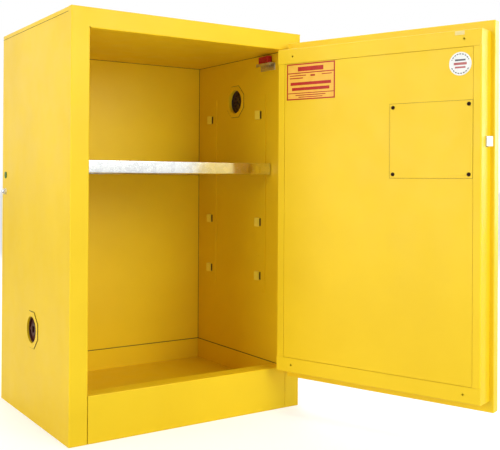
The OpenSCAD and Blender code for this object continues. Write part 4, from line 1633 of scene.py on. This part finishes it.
@dataclass
class Studio:
    """Floor, soft lights and the camera.

    The surround is white to the camera, mirrored_white in reflections and ambient as a light.
    The floor glows between floor_glow's two strengths, the second one for the camera alone.
    """

    eye: Point = (-0.88968, -1.78091, 0.53972)
    yaw: float = 34.18
    pitch: float = 0.24
    roll: float = 0.33
    sensor: float = 36.0
    lens: float = 58.3992
    shift: tuple[float, float] = (-0.016, -0.0974)
    ambient: float = 0.26
    mirrored_white: float = 1.25
    floor_glow: tuple[float, float] = (0.0, 0.46)
    lamps: tuple[Lamp, ...] = (
        Lamp("key", (0.6, -3.2, 1.75), (0.0, 0.0, 0.36), 1.8, 57.0, (0.93, 1.0, 0.98)),
        Lamp("fill", (-0.5, -3.0, 0.25), (0.05, 0.0, 0.1), 0.9, 12.0, (0.93, 1.0, 0.98)),
        Lamp("side", (-3.0, -0.4, 1.1), (0.1, -0.3, 0.42), 2.0, 52.0),
        Lamp("edge", (3.2, -0.9, 1.1), (0.4, -0.6, 0.5), 1.5, 36.0, (0.95, 1.0, 1.0)),
        Lamp("back", (1.4, 3.0, 1.9), (0.0, 0.2, 0.5), 2.2, 40.0),
        Lamp("top", (0.2, 0.4, 3.3), (0.0, 0.1, 0.9), 2.0, 42.0),
    )

    def build(self) -> None:
        """Make the floor, the lights and the camera."""
        self.floor()
        self.lights()
        self.camera()

    def floor(self) -> None:
        """Lay the plain pale floor."""
        clear_selection()
        bpy.ops.mesh.primitive_plane_add(size=60.0, location=(0, 0, -0.0005))
        floor = bpy.context.object
        floor.name = "studio_floor"
        c = Chart("studio_floor")
        tint = c.blend(c.noise(3.0), (0.66, 0.66, 0.66), (0.68, 0.68, 0.68))
        c.shader.inputs["Emission Color"].default_value = (1.0, 1.0, 1.0, 1.0)
        paint(floor, c.finish(tint, 0.7))
        low, high = self.floor_glow
        path = c.add("LightPath")
        glow = c.add("MapRange", Value=path.outputs["Is Camera Ray"], To_Min=low, To_Max=high)
        c.tree.links.new(glow.outputs[0], c.shader.inputs["Emission Strength"])

    def lights(self) -> None:
        """Hang the soft lights and set the pale surround."""
        world = bpy.data.worlds.new("studio")
        world.use_nodes = True
        tree = world.node_tree
        back = tree.nodes["Background"]
        back.inputs[0].default_value = (1.0, 1.0, 1.0, 1.0)
        path, level = tree.nodes.new("ShaderNodeLightPath"), None
        for ray, strength in (("Is Camera Ray", 1.0), ("Is Glossy Ray", self.mirrored_white)):
            step = tree.nodes.new("ShaderNodeMath")
            step.operation = "MULTIPLY_ADD"
            tree.links.new(path.outputs[ray], step.inputs[0])
            step.inputs[1].default_value = strength - self.ambient
            if level is None:
                step.inputs[2].default_value = self.ambient
            else:
                tree.links.new(level, step.inputs[2])
            level = step.outputs[0]
        tree.links.new(level, back.inputs[1])
        bpy.context.scene.world = world
        for lamp in self.lamps:
            lamp.hang()

    def camera(self) -> None:
        """Set the camera in front of the cabinet, to its left, about half as high as it is."""
        yaw, pitch, roll = (math.radians(a) for a in (self.yaw, self.pitch, self.roll))
        ahead = Vector((math.sin(yaw) * math.cos(pitch), math.cos(yaw) * math.cos(pitch), math.sin(pitch)))
        right = Vector((math.cos(yaw), -math.sin(yaw), 0.0))
        up = right.cross(ahead)
        tilted = right * math.cos(roll) + up * math.sin(roll)
        upright = -right * math.sin(roll) + up * math.cos(roll)
        camera = bpy.data.cameras.new("camera")
        camera.sensor_width, camera.lens = self.sensor, self.lens
        camera.shift_x, camera.shift_y = self.shift
        obj = bpy.data.objects.new("camera", camera)
        turn = Matrix((tilted, upright, -ahead)).transposed().to_4x4()
        obj.matrix_world = Matrix.Translation(self.eye) @ turn
        bpy.context.scene.collection.objects.link(obj)
        bpy.context.scene.camera = obj
        bpy.context.scene.view_settings.view_transform = "Standard"


# ---------------------------------------------------------------- main


def main() -> None:
    """Build the cabinet's looks and report each piece."""
    logging.basicConfig(level=logging.INFO, format="%(name)s: %(message)s")
    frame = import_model()
    clear_selection()
    shop, swing = Shop(frame["nodes"], Finishes()), Swing()
    Carcass(shop).build()
    Interior(shop).build()
    Shelf(shop).build()
    Vents(shop).build()
    EarthPoint(shop).build()
    LinkPoint(shop).build()
    Hinge(shop).build()
    DoorShell(shop, swing).build()
    DoorInner(shop, swing).build()
    AccessPlugs(shop, swing).build()
    DoorPrints(shop, swing).build()
    Latch(shop, swing).build()
    Studio().build()
    clear_selection()


if __name__ == "__main__":
    main()
